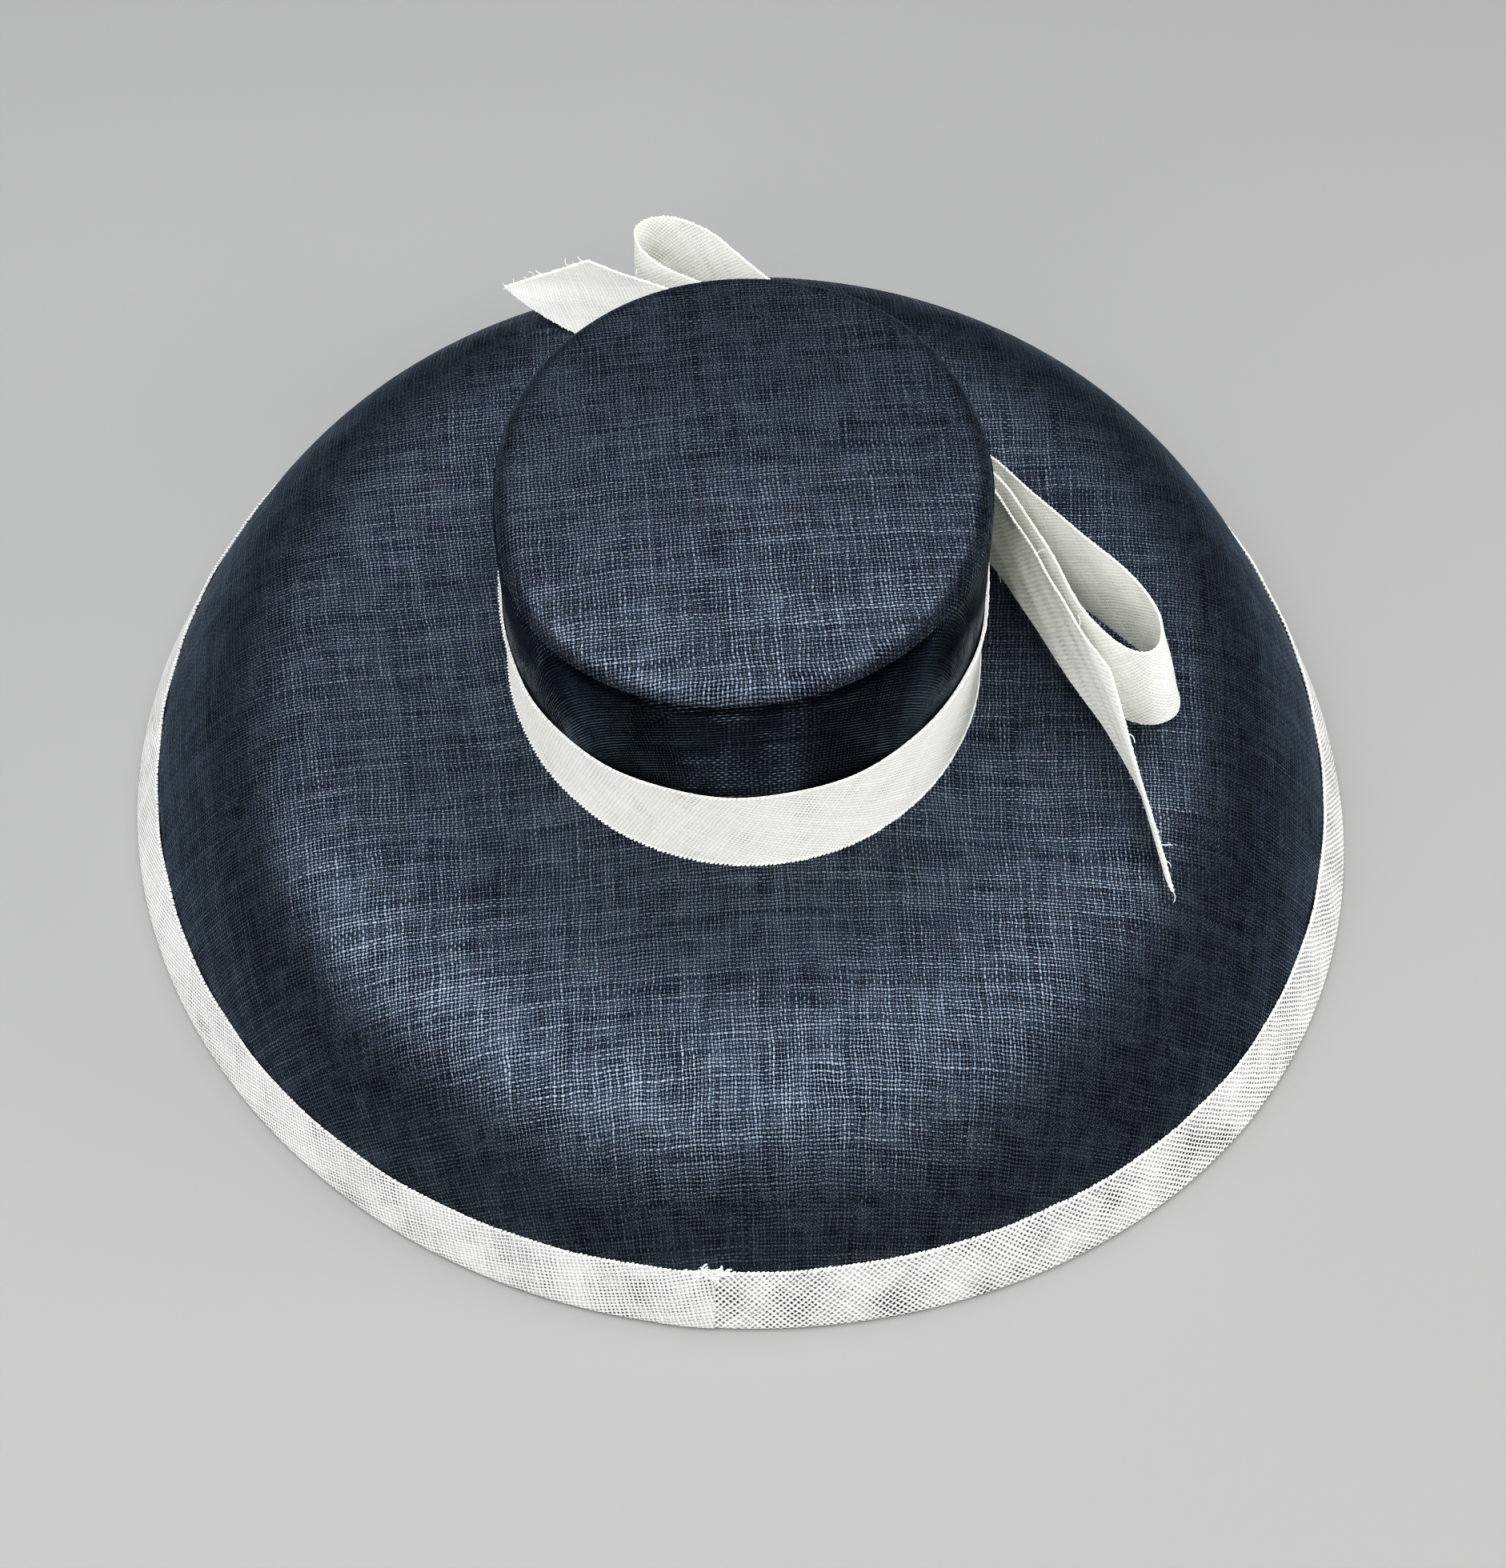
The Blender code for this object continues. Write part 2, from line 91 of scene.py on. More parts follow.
def alongRows(rows, column, place):
    last = len(rows) - 1
    spot = min(max(place, 0.0), 1.0) * last
    index = min(int(spot), last - 1)
    picks = [min(max(index + step, 0), last) for step in (-1, 0, 1, 2)]
    return easeBetween(*(rows[pick][column] for pick in picks), spot - index)


def ovalRadius(halfWidth, halfLength, bearing):
    return 1 / math.hypot(math.cos(bearing) / halfWidth, math.sin(bearing) / halfLength)


def headPoint(outset, bearing, height):
    radius = ovalRadius(hat["headHalfWidth"] + outset, hat["headHalfLength"] + outset, bearing)
    return Vector((hat["headX"] + radius * math.cos(bearing), hat["headY"] + radius * math.sin(bearing), height))


def smoothStep(low, high, value):
    share = min(max((value - low) / (high - low), 0.0), 1.0)
    return share * share * (3 - 2 * share)


def ripple(*waves):
    # slow uneven waves, each (turn, phase), summed to about -1 to 1
    return sum(math.sin(turn + phase) for turn, phase in waves) / len(waves)


def rowsOf(columns, flipped=False):
    rows = [list(row) for row in zip(*columns)]
    return rows[::-1] if flipped else rows


def addPiece(name, mesh):
    piece = bpy.data.objects.new(name, mesh)
    bpy.context.scene.collection.objects.link(piece)
    return piece


def sheetMesh(name, rows, uvRows, closed=False, material=None, capLast=False):
    # rows run upwards and across to the left as seen from inside, so faces point outwards
    count = len(rows[0])
    points = [point for row in rows for point in row]
    uvs = [uv for row in uvRows for uv in row]
    faces = []
    for r in range(len(rows) - 1):
        for c in range(count if closed else count - 1):
            n = (c + 1) % count
            faces.append((r * count + c, r * count + n, (r + 1) * count + n, (r + 1) * count + c))
    if capLast:
        start = (len(rows) - 1) * count
        middle = sum((Vector(p) for p in rows[-1]), Vector()) / count
        points.append(middle)
        uvs.append((sum(uv[0] for uv in uvRows[-1]) / count, sum(uv[1] for uv in uvRows[-1]) / count))
        for c in range(count):
            faces.append((start + c, start + (c + 1) % count, len(points) - 1))
    mesh = bpy.data.meshes.new(name)
    mesh.from_pydata(points, [], faces)
    layer = mesh.uv_layers.new(name="threads")
    picked = [0] * len(mesh.loops)
    mesh.loops.foreach_get("vertex_index", picked)
    layer.data.foreach_set("uv", [value for index in picked for value in uvs[index]])
    mesh.shade_smooth()
    mesh.materials.append(material)
    return addPiece(name, mesh)


def keepResult(piece):
    # the evaluated shape becomes a plain mesh and the modifier goes
    plain = bpy.data.meshes.new_from_object(piece.evaluated_get(bpy.context.evaluated_depsgraph_get()))
    piece.modifiers.clear()
    old = piece.data
    piece.data = plain
    bpy.data.meshes.remove(old)
    piece.data.shade_smooth()


def thicken(piece, thickness, offset=-1.0):
    wall = piece.modifiers.new("wall", "SOLIDIFY")
    wall.thickness = thickness
    wall.offset = offset
    wall.use_even_offset = True
    wall.use_rim = True
    keepResult(piece)
    piece.data.set_sharp_from_angle(angle=hat["sharpFrom"])


def rideRoot(piece, slot, *nodes):
    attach(piece, "root")
    if nodes:
        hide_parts(*nodes)


class NodeDesk:
    # short calls that add and join nodes in one tree
    def __init__(self, tree):
        self.tree = tree

    def add(self, kind, inputs=None, **settings):
        node = self.tree.nodes.new(kind)
        for key, value in settings.items():
            setattr(node, key, value)
        for key, value in (inputs or {}).items():
            self.put(node.inputs[key], value)
        return node

    def put(self, socket, value):
        if isinstance(value, bpy.types.NodeSocket):
            self.tree.links.new(value, socket)
        else:
            socket.default_value = value

    def math(self, operation, a, b=0.0, c=0.0, clamp=False):
        return self.add("ShaderNodeMath", {0: a, 1: b, 2: c}, operation=operation, use_clamp=clamp).outputs[0]

    def vector(self, operation, a, b=(0, 0, 0), scale=1.0):
        return self.add("ShaderNodeVectorMath", {0: a, 1: b, 3: scale}, operation=operation).outputs[0]

    def range(self, value, low, high, newLow=0.0, newHigh=1.0):
        inputs = {0: value, 1: low, 2: high, 3: newLow, 4: newHigh}
        return self.add("ShaderNodeMapRange", inputs, clamp=True).outputs[0]

    def mixColor(self, share, a, b):
        return self.add("ShaderNodeMix", {0: share, 6: a, 7: b}, data_type="RGBA").outputs[2]

    def mix(self, share, a, b):
        return self.add("ShaderNodeMix", {0: share, 2: a, 3: b}, data_type="FLOAT").outputs[0]

    def joinXyz(self, x, y, z=0.0):
        return self.add("ShaderNodeCombineXYZ", {0: x, 1: y, 2: z}).outputs[0]

    def splitXyz(self, value):
        return self.add("ShaderNodeSeparateXYZ", {0: value}).outputs

    def noise(self, place, scale, detail=1.0, output=0, **extra):
        inputs = {"Vector": place, "Scale": scale, "Detail": detail, **extra}
        return self.add("ShaderNodeTexNoise", inputs).outputs[output]


# how the threads of one layer wander, swell and vary
weave = {
    "slowScale": 42.0, "slowShift": 2.4, "fineScale": 230.0, "fineShift": 0.8,
    "thinnest": 0.72, "thickest": 1.28,                     # shares of the usual thread width
    "edgeOut": 1.12, "edgeIn": 0.82,                        # soft border of a thread, in half widths
    "crossing": 0.26, "roundness": 0.30, "floor": 0.40,     # what a thread's height is made of
    "ownTone": 0.32, "driftTone": 0.50, "streakTone": 0.18,
    "rareFrom": 0.86,                                       # above this chance a thread has slubs
    "overlap": 0.03,
}


def makeWeaveGroup():
    # one layer of plain weave. Threads is a place on the cloth in metres along its two thread
    # directions; the outputs say where thread covers, how high it stands and how light it is
    group = bpy.data.node_groups.new("openPlainWeave", "ShaderNodeTree")
    face = group.interface
    face.new_socket("Threads", in_out="INPUT", socket_type="NodeSocketVector")
    for name, value in (("Pitch", 0.0014), ("Fill", 0.62), ("Waver", 1.0), ("Seed", 0.0)):
        face.new_socket(name, in_out="INPUT", socket_type="NodeSocketFloat").default_value = value
    for name in ("Cover", "Height", "Tone", "Slub", "Upright"):
        face.new_socket(name, in_out="OUTPUT", socket_type="NodeSocketFloat")
    desk = NodeDesk(group)
    given = desk.add("NodeGroupInput").outputs
    shown = desk.add("NodeGroupOutput").inputs
    seedStep = desk.joinXyz(given["Seed"], desk.math("MULTIPLY", given["Seed"], 0.37))
    place = desk.vector("ADD", given["Threads"], seedStep)

    def wander(scale, detail, amount):
        loose = desk.noise(place, scale, detail, output="Color")
        return desk.vector("SCALE", desk.vector("SUBTRACT", loose, (0.5, 0.5, 0.5)), scale=amount)

    slowShift = wander(weave["slowScale"], 1.0, weave["slowShift"])
    fineShift = wander(weave["fineScale"], 0.0, weave["fineShift"])
    shift = desk.vector("SCALE", desk.vector("ADD", slowShift, fineShift), scale=given["Waver"])
    counted = desk.vector("SCALE", place, scale=desk.math("DIVIDE", 1.0, given["Pitch"]))
    u, v = desk.splitXyz(desk.vector("ADD", counted, shift))[:2]
    iu, iv = desk.math("FLOOR", u), desk.math("FLOOR", v)
    fu = desk.math("SUBTRACT", desk.math("SUBTRACT", u, iu), 0.5)
    fv = desk.math("SUBTRACT", desk.math("SUBTRACT", v, iv), 0.5)
    odd = desk.math("PINGPONG", desk.math("ADD", iu, iv), 1.0)
    side = desk.math("MULTIPLY_ADD", odd, -2.0, 1.0)     # 1 where the upright thread is on top

    def oneThread(index, acrossSpot, alongSpot, alongFraction, sign, offset):
        def alongNoise(apart, stretch, roughness):
            # changes from thread to thread and slowly along each one
            spot = desk.joinXyz(desk.math("MULTIPLY", index, apart), desk.math("MULTIPLY", alongSpot, stretch), offset)
            return desk.noise(spot, 1.0, Roughness=roughness)

        chance = desk.add("ShaderNodeTexWhiteNoise", {"Vector": desk.joinXyz(index, offset, given["Seed"])},
                          noise_dimensions="3D").outputs[0]
        drift = alongNoise(2.37, 0.06, 0.65)
        thickening = alongNoise(3.71, 0.014, 0.5)
        streak = alongNoise(0.21, 0.008, 0.6)
        rare = desk.range(chance, weave["rareFrom"], 1.0)
        slub = desk.math("MULTIPLY", desk.range(thickening, 0.40, 0.62), desk.math("MULTIPLY", rare, rare))
        width = desk.math("MULTIPLY", given["Fill"],
                          desk.range(drift, 0.25, 0.75, weave["thinnest"], weave["thickest"]))
        across = desk.math("DIVIDE", desk.math("ABSOLUTE", acrossSpot), desk.math("MULTIPLY", width, 0.5))
        cover = desk.range(across, weave["edgeOut"], weave["edgeIn"])
        bulge = desk.math("SQRT", desk.math("SUBTRACT", 1.0, desk.math("MULTIPLY", across, across), clamp=True))
        over = desk.math("MULTIPLY", desk.math("COSINE", desk.math("MULTIPLY", alongFraction, math.pi)),
                         desk.math("MULTIPLY", side, sign))
        rise = desk.math("MULTIPLY_ADD", over, weave["crossing"],
                         desk.math("MULTIPLY_ADD", bulge, weave["roundness"], weave["floor"]))
        height = desk.math("MULTIPLY", rise, cover)
        tone = desk.math("MULTIPLY_ADD", chance, weave["ownTone"],
                         desk.range(drift, 0.30, 0.72, 0.0, weave["driftTone"]))
        tone = desk.math("ADD", tone, desk.range(streak, 0.32, 0.68, 0.0, weave["streakTone"]))
        return cover, height, tone, slub

    upright = oneThread(iu, fu, v, fv, 1.0, 3.1)
    level = oneThread(iv, fv, u, fu, -1.0, 17.7)
    top = desk.range(desk.math("SUBTRACT", upright[1], level[1]), -weave["overlap"], weave["overlap"])
    desk.put(shown["Cover"], desk.math("MAXIMUM", upright[0], level[0]))
    desk.put(shown["Height"], desk.math("MAXIMUM", upright[1], level[1]))
    desk.put(shown["Tone"], desk.mix(top, level[2], upright[2]))
    desk.put(shown["Slub"], desk.mix(top, level[3], upright[3]))
    desk.put(shown["Upright"], top)
    return group


weaveGroup = makeWeaveGroup()


def opaque(color, dim=1.0):
    return (*(channel * dim for channel in color), 1.0)


def addRidges(desk, uv, height, look):
    # threads that lie level round the crown catch tall lights as upright streaks. The rows run
    # along V in front and behind, and along U at the two sides
    rings = look["rings"]
    spot = desk.splitXyz(uv)
    place = desk.splitXyz(desk.add("ShaderNodeTexCoord").outputs["Object"])
    wide = desk.math("MULTIPLY", desk.math("ABSOLUTE", place[0]), hat["headHalfLength"] / hat["headHalfWidth"])
    beside = desk.math("SUBTRACT", wide, desk.math("ABSOLUTE", place[1]))
    count = math.tau / look["layers"][0][1]
    acrossRows, besideRows = (
        desk.math("SINE", desk.math("MULTIPLY_ADD", spot[axis], count, -math.pi / 2)) for axis in (1, 0))
    ridge = desk.mix(desk.range(beside, -rings["blend"], rings["blend"]), acrossRows, besideRows)
    return desk.math("MULTIPLY_ADD", ridge, rings["ridge"], desk.math("MULTIPLY", height, rings["threads"]))


def strawCloth(name, look):
    # two layers of open weave, the lower one turned a little, with true holes where both are open
    material = bpy.data.materials.new(name)
    material.use_nodes = True
    desk = NodeDesk(material.node_tree)
    shader = material.node_tree.nodes["Principled BSDF"]
    uv = desk.add("ShaderNodeUVMap", uv_map="threads").outputs[0]
    layers = []
    for turn, pitch, fill, seed in look["layers"]:
        turned = desk.add("ShaderNodeMapping", {"Vector": uv, "Rotation": (0, 0, math.radians(turn))}).outputs[0]
        density = desk.noise(uv, look["patchScale"])
        closeness = desk.range(density, 0.3, 0.7, fill - look["patch"], fill + look["patch"])
        inputs = {"Threads": turned, "Pitch": pitch, "Fill": closeness, "Waver": look["waver"], "Seed": seed}
        layer = desk.add("ShaderNodeGroup", node_tree=weaveGroup)
        for label, value in inputs.items():
            desk.put(layer.inputs[label], value)
        layers.append(layer.outputs)
    top, low = layers

    def threadColor(layer, dim):
        ramp = desk.add("ShaderNodeValToRGB", {0: layer["Tone"]})
        for index, (spot, color) in enumerate(look["tones"]):
            stop = ramp.color_ramp.elements[index] if index < 2 else ramp.color_ramp.elements.new(spot)
            stop.position = spot
            stop.color = opaque(color, dim)
        slubbed = desk.mixColor(desk.math("MULTIPLY", layer["Slub"], look["slub"]), ramp.outputs[0],
                                opaque(look["slubColor"], dim))
        # thread edges sink into shade
        shade = desk.range(layer["Height"], look["shadeFrom"], 0.94, look["edgeShade"], 1.0)
        # painted shade: on the crown's wall the upright threads are darkened, so the level threads alone seem to catch
        # the lamps
        if look["rings"]:
            dimmed = desk.range(layer["Upright"], 0.0, 1.0, 1.0, look["rings"]["uprightShade"])
            shade = desk.math("MULTIPLY", shade, dimmed)
        return desk.vector("MULTIPLY", slubbed, desk.joinXyz(shade, shade, shade))

    # painted shade: the lower layer's threads are darkened where they lie under the top layer, and the gaps between
    # threads take a dark colour as shade seen through the weave
    under = desk.mixColor(low["Cover"], opaque(look["gapShadeColor"]), threadColor(low, look["lowerLayerShade"]))
    desk.put(shader.inputs["Base Color"], desk.mixColor(top["Cover"], under, threadColor(top, 1.0)))
    if look["satin"]:
        # smooth straw mirrors light in its own colour, the open gaps do not
        desk.put(shader.inputs["Metallic"], desk.math("MULTIPLY", top["Cover"], look["satin"]))
    dullness = desk.range(top["Tone"], 0.25, 0.80, look["roughDull"], look["rough"])
    desk.put(shader.inputs["Roughness"], desk.mix(top["Cover"], look["roughGap"], dullness))
    hole = desk.math("MULTIPLY", desk.math("SUBTRACT", 1.0, top["Cover"], clamp=True),
                     desk.math("SUBTRACT", 1.0, low["Cover"], clamp=True))
    desk.put(shader.inputs["Alpha"], desk.math("MULTIPLY_ADD", hole, -look["open"], 1.0, clamp=True))
    shader.inputs["Specular IOR Level"].default_value = look["gloss"]
    shader.inputs["Specular Tint"].default_value = opaque(look["glossColor"])
    height = addRidges(desk, uv, top["Height"], look) if look["rings"] else top["Height"]
    bump = desk.add("ShaderNodeBump", {"Height": height, "Strength": look["bump"], "Distance": look["relief"]})
    desk.put(shader.inputs["Normal"], bump.outputs[0])
    material.use_transparent_shadow = False     # the light through the small holes isn't worth the time
    return material


def dimTones(look, dim):
    return [(spot, tuple(channel * dim for channel in color)) for spot, color in look["tones"]]


navyLook = {
    "layers": [(0.0, 0.00142, 0.48, 0.0), (3.2, 0.00150, 0.48, 0.531)],   # turn, pitch, fill, seed
    "patchScale": 34.0, "patch": 0.07, "waver": 0.8,
    "tones": [(0.10, (0.024, 0.033, 0.051)), (0.52, (0.088, 0.111, 0.149)), (0.95, (0.168, 0.203, 0.256))],
    "slub": 0.22, "slubColor": (0.215, 0.252, 0.304), "shadeFrom": 0.56,
    "edgeShade": 0.10, "gapShadeColor": (0.0005, 0.0007, 0.0012), "lowerLayerShade": 0.20,
    "rough": 0.33, "roughDull": 0.46, "roughGap": 0.90,
    "gloss": 0.04, "glossColor": (0.72, 0.85, 1.0), "satin": 0.94,
    "open": 0.60, "bump": 0.35, "relief": 0.00045, "rings": None,
}
# the crown's wall has a glossier cloth with ridged rows, and its threads are painted darker (tones × 0.31) as painted
# shade on the upright wall
wallShadedGlossLook = dict(navyLook, bump=1.0, relief=0.0008, slub=0.10, lowerLayerShade=0.10, rough=0.17, roughDull=0.26,
                tones=dimTones(navyLook, 0.31),
                rings={"ridge": 0.5, "threads": 0.05, "blend": 0.012, "uprightShade": 0.22})
bindingLook = {
    "layers": [(0.0, 0.00164, 0.50, 0.2), (2.2, 0.00160, 0.32, 0.83)],
    "patchScale": 45.0, "patch": 0.10, "waver": 0.5,
    "tones": [(0.15, (0.70, 0.705, 0.685)), (0.52, (0.82, 0.825, 0.805)), (0.95, (0.90, 0.90, 0.885))],
    "slub": 0.3, "slubColor": (0.82, 0.82, 0.80), "shadeFrom": 0.45,
    "edgeShade": 0.30, "gapShadeColor": (0.004, 0.005, 0.008), "lowerLayerShade": 0.38,
    "rough": 0.45, "roughDull": 0.60, "roughGap": 0.90,
    "gloss": 0.3, "glossColor": (1.0, 1.0, 1.0), "satin": 0.0,
    "open": 0.22, "bump": 0.5, "relief": 0.00045, "rings": None,
}
# pulled slanting round the edge the same strip lies closer
bindingCloseLook = dict(bindingLook, layers=[(0.0, 0.00146, 0.54, 0.3), (2.6, 0.00142, 0.42, 0.71)],
                        lowerLayerShade=0.55, gapShadeColor=(0.02, 0.02, 0.025), tones=dimTones(bindingLook, 0.9))
ribbonLook = {
    "layers": [(0.0, 0.00135, 0.72, 0.4), (4.0, 0.00140, 0.70, 0.67)],
    "patchScale": 60.0, "patch": 0.12, "waver": 0.5,
    "tones": [(0.15, (0.74, 0.745, 0.67)), (0.52, (0.84, 0.845, 0.785)), (0.95, (0.90, 0.905, 0.86))],
    "slub": 0.4, "slubColor": (0.93, 0.93, 0.91), "shadeFrom": 0.40,
    "edgeShade": 0.60, "gapShadeColor": (0.28, 0.28, 0.245), "lowerLayerShade": 0.80,
    "rough": 0.45, "roughDull": 0.60, "roughGap": 0.75,
    "gloss": 0.3, "glossColor": (1.0, 1.0, 1.0), "satin": 0.0,
    "open": 0.50, "bump": 0.45, "relief": 0.0004, "rings": None,
}
navyCloth = strawCloth("navySinamay", navyLook)
wallShadedGlossCloth = strawCloth("navySinamayWallShadedGloss", wallShadedGlossLook)
bindingCloth = strawCloth("ivorySinamayOpen", bindingLook)
bindingClose = strawCloth("ivorySinamayClose", bindingCloseLook)
ribbonCloth = strawCloth("ivorySinamay", ribbonLook)

# plain twisted thread for rolled edges and loose fibres
threadLook = {
    "dark": (0.72, 0.72, 0.66), "light": (0.86, 0.86, 0.82), "rough": 0.5, "sheen": 0.1,
    "speckScale": 900.0, "twistScale": 2600.0, "bump": 0.35, "relief": 0.0002,
}


def threadMaterial(name, look):
    material = bpy.data.materials.new(name)
    material.use_nodes = True
    desk = NodeDesk(material.node_tree)
    shader = material.node_tree.nodes["Principled BSDF"]
    place = desk.add("ShaderNodeTexCoord").outputs["Object"]
    speck = desk.range(desk.noise(place, look["speckScale"], 2.0), 0.35, 0.65)
    desk.put(shader.inputs["Base Color"], desk.mixColor(speck, opaque(look["dark"]), opaque(look["light"])))
    shader.inputs["Roughness"].default_value = look["rough"]
    shader.inputs["Sheen Weight"].default_value = look["sheen"]
    twist = desk.noise(place, look["twistScale"])
    bump = desk.add("ShaderNodeBump", {"Height": twist, "Strength": look["bump"], "Distance": look["relief"]})
    desk.put(shader.inputs["Normal"], bump.outputs[0])
    return material


ivoryThread = threadMaterial("ivoryThread", threadLook)
print("cloth materials made")

brim = {
    "halfWidth": 0.2345, "halfLength": 0.2475,
    "startFall": math.radians(2.5), "rimFall": math.radians(68.0),
    "flatReach": 0.48, "turnReach": 0.775,
    "collarHeight": 0.014, "collarRows": 4,
    "wall": 0.0010, "around": 288, "rows": 64,
    "sway": 0.0007,             # uneven blocking, downwards only
    "swing": math.radians(8.0), # how far the threads swing round at the two sides
    "skew": math.radians(1.5),  # and how far they are turned everywhere
    "backDip": 0.005,           # the cloth sinks a little sooner behind the crown
}


def brimCurve(bearing):
    # the brim's upper surface along one bearing
    start = headPoint(hat["cloth"], bearing, hat["brimLine"])
    reach = ovalRadius(brim["halfWidth"], brim["halfLength"], bearing) * byBearing("reach", bearing) - hat["roll"]
    fall = brim["rimFall"] * byBearing("fall", bearing)
    rim = Vector((reach * math.cos(bearing), reach * math.sin(bearing),
                  hat["rimHeight"] + hat["cloth"] / 2 * math.cos(fall)))
    level = Vector((rim.x - start.x, rim.y - start.y, 0))
    length = level.length
    out = level.normalized()
    up = Vector((0, 0, 1))
    first = start + (out * math.cos(brim["startFall"]) - up * math.sin(brim["startFall"])) * length * brim["flatReach"]
    second = rim - (out * math.cos(fall) - up * math.sin(fall)) * length * brim["turnReach"]

    def at(share):
        rest = 1 - share
        point = start * rest**3 + first * 3 * rest**2 * share + second * 3 * rest * share**2 + rim * share**3
        run = (first - start) * rest**2 + (second - first) * 2 * rest * share + (rim - second) * share**2
        run.normalize()
        normal = up * run.dot(out) - out * run.z
        swing = ripple((bearing * 5, 0.4), (bearing * 3, 2.1), (bearing * 8, 4.0)) * 0.5 - 0.5
        hump = math.sin(math.pi * share) ** 2
        dip = brim["backDip"] * hump * smoothStep(0.35, 0.95, -math.sin(bearing))
        return point + normal * (brim["sway"] * swing * hump - dip), normal

    return at


def brimMeasure(bearing, fine=160):
    # places on the brim by length along its surface
    at = brimCurve(bearing)
    stops = [at(step / fine)[0] for step in range(fine + 1)]
    lengths = [0.0]
    for one, two in zip(stops, stops[1:]):
        lengths.append(lengths[-1] + (two - one).length)

    def byLength(length):
        low, high = 0, fine
        while high - low > 1:
            mid = (low + high) // 2
            if lengths[mid] <= length:
                low = mid
            else:
                high = mid
        share = (length - lengths[low]) / (lengths[high] - lengths[low])
        return at((low + min(max(share, 0.0), 1.0)) / fine)

    return byLength, lengths[-1]


def makeBrim():
    columns, threads = [], []
    for step in range(brim["around"]):
        bearing = math.tau * step / brim["around"]
        byLength, total = brimMeasure(bearing)
        swung = bearing + brim["swing"] * math.cos(bearing) + brim["skew"]
        direction = Vector((math.cos(swung), math.sin(swung)))
        head = headPoint(hat["cloth"], bearing, 0) - Vector((hat["headX"], hat["headY"], 0))
        column, thread = [], []
        for row in range(brim["collarRows"]):
            up = brim["collarHeight"] * (1 - row / brim["collarRows"])
            column.append(headPoint(hat["cloth"], bearing, hat["brimLine"] + up))
            thread.append(tuple(direction * (head.length - up)))
        for row in range(brim["rows"] + 1):
            length = total * row / brim["rows"]
            column.append(byLength(length)[0])
            thread.append(tuple(direction * (head.length + length)))
        columns.append(column)
        threads.append(thread)
    piece = sheetMesh("brimCloth", rowsOf(columns, True), rowsOf(threads, True), closed=True, material=navyCloth)
    thicken(piece, brim["wall"])
    rideRoot(piece, "navy_sinamay", "brim")


makeBrim()
print("brim made")

crown = {
    "height": 0.0930, "flare": 0.0010, "corner": 0.0085, "dome": 0.0035,
    "tilt": math.radians(1.5), "wall": 0.0010, "around": 288,
    "wallRows": 34, "cornerRows": 10, "tipRows": 34,
    "lump": 0.0007,             # small unevenness of the blocked wall
    "shear": 0.85,              # how far the weave slants into diamonds between the four axes
}
crown["wallHeight"] = crown["height"] - crown["corner"]


def crownOutset(bearing, share):
    half = ovalRadius(hat["headHalfWidth"], hat["headHalfLength"], bearing)
    return hat["crownWall"] + share * (crown["flare"] + half * (byBearing("crown", bearing) - 1))


def crownTilt(point, share=None):
    lift = (point.z - hat["seat"]) / crown["height"] if share is None else share
    return point + Vector((0, 0, math.tan(crown["tilt"]) * (point.x - hat["headX"]) * lift))


def crownColumn(bearing):
    # up the wall, round the corner and in over the tip; also the tip's edge before the tilt
    out = Vector((math.cos(bearing), math.sin(bearing), 0))
    column = []
    for row in range(crown["wallRows"] + 1):
        share = row / crown["wallRows"]
        uneven = ripple((bearing * 4 + share * 3, 0.7), (bearing * 7 - share * 2, 2.9), (bearing * 2, 5.1))
        outset = crownOutset(bearing, share) + (uneven * 0.5 - 0.5) * crown["lump"] * smoothStep(0.35, 0.8, share)
        column.append(headPoint(outset, bearing, hat["seat"] + crown["wallHeight"] * share))
    hub = column[-1] - out * crown["corner"]
    for row in range(1, crown["cornerRows"] + 1):
        turn = math.pi / 2 * row / crown["cornerRows"]
        column.append(hub + out * crown["corner"] * math.cos(turn) + Vector((0, 0, crown["corner"] * math.sin(turn))))
    edge = column[-1]
    middle = Vector((hat["headX"], hat["headY"], edge.z))
    for row in range(1, crown["tipRows"]):
        share = 1 - row / crown["tipRows"]
        column.append(middle + (edge - middle) * share + Vector((0, 0, crown["dome"] * (1 - share**2))))
    return [crownTilt(point) for point in column], edge


def makeCrown():
    columns, threads = [], []
    edgeIndex = crown["wallRows"] + crown["cornerRows"]
    for step in range(crown["around"]):
        bearing = math.tau * step / crown["around"]
        column, edge = crownColumn(bearing)
        # place on the cloth: flat over the tip, then down the wall with the weave sheared
        flat = Vector((edge.x - hat["headX"], edge.y - hat["headY"]))
        thread = [None] * len(column)
        for index in range(edgeIndex, len(column)):
            share = 1 - (index - edgeIndex) / crown["tipRows"]
            thread[index] = tuple(flat * share)
        swung = bearing - crown["shear"] / 4 * math.sin(4 * bearing)
        down = Vector((math.cos(swung), math.sin(swung)))
        depth = 0.0
        for index in range(edgeIndex - 1, -1, -1):
            depth += (column[index] - column[index + 1]).length
            thread[index] = tuple(flat + down * depth)
        columns.append(column)
        threads.append(thread)
    piece = sheetMesh("crownCloth", rowsOf(columns), rowsOf(threads), closed=True, material=navyCloth, capLast=True)
    # the wall and the lower part of its corner take the wall cloth, which is painted darker as shade
    piece.data.materials.append(wallShadedGlossCloth)
    wallFaces = (crown["wallRows"] + crown["cornerRows"] // 3) * crown["around"]
    for face in piece.data.polygons[:wallFaces]:
        face.material_index = 1
    thicken(piece, crown["wall"])
    rideRoot(piece, "navy_sinamay", "crown")


makeCrown()
print("crown made")

# trimming with geometry nodes: threads rolled over the edges, and loose fibres
trim = {
    "spacing": 0.00160,         # one rolled thread over the edge every so far
    "threadLength": 0.0020, "threadThick": 0.00088, "slant": math.radians(46.0), "uneven": 0.24,
    "fibreThick": 0.00013,
}


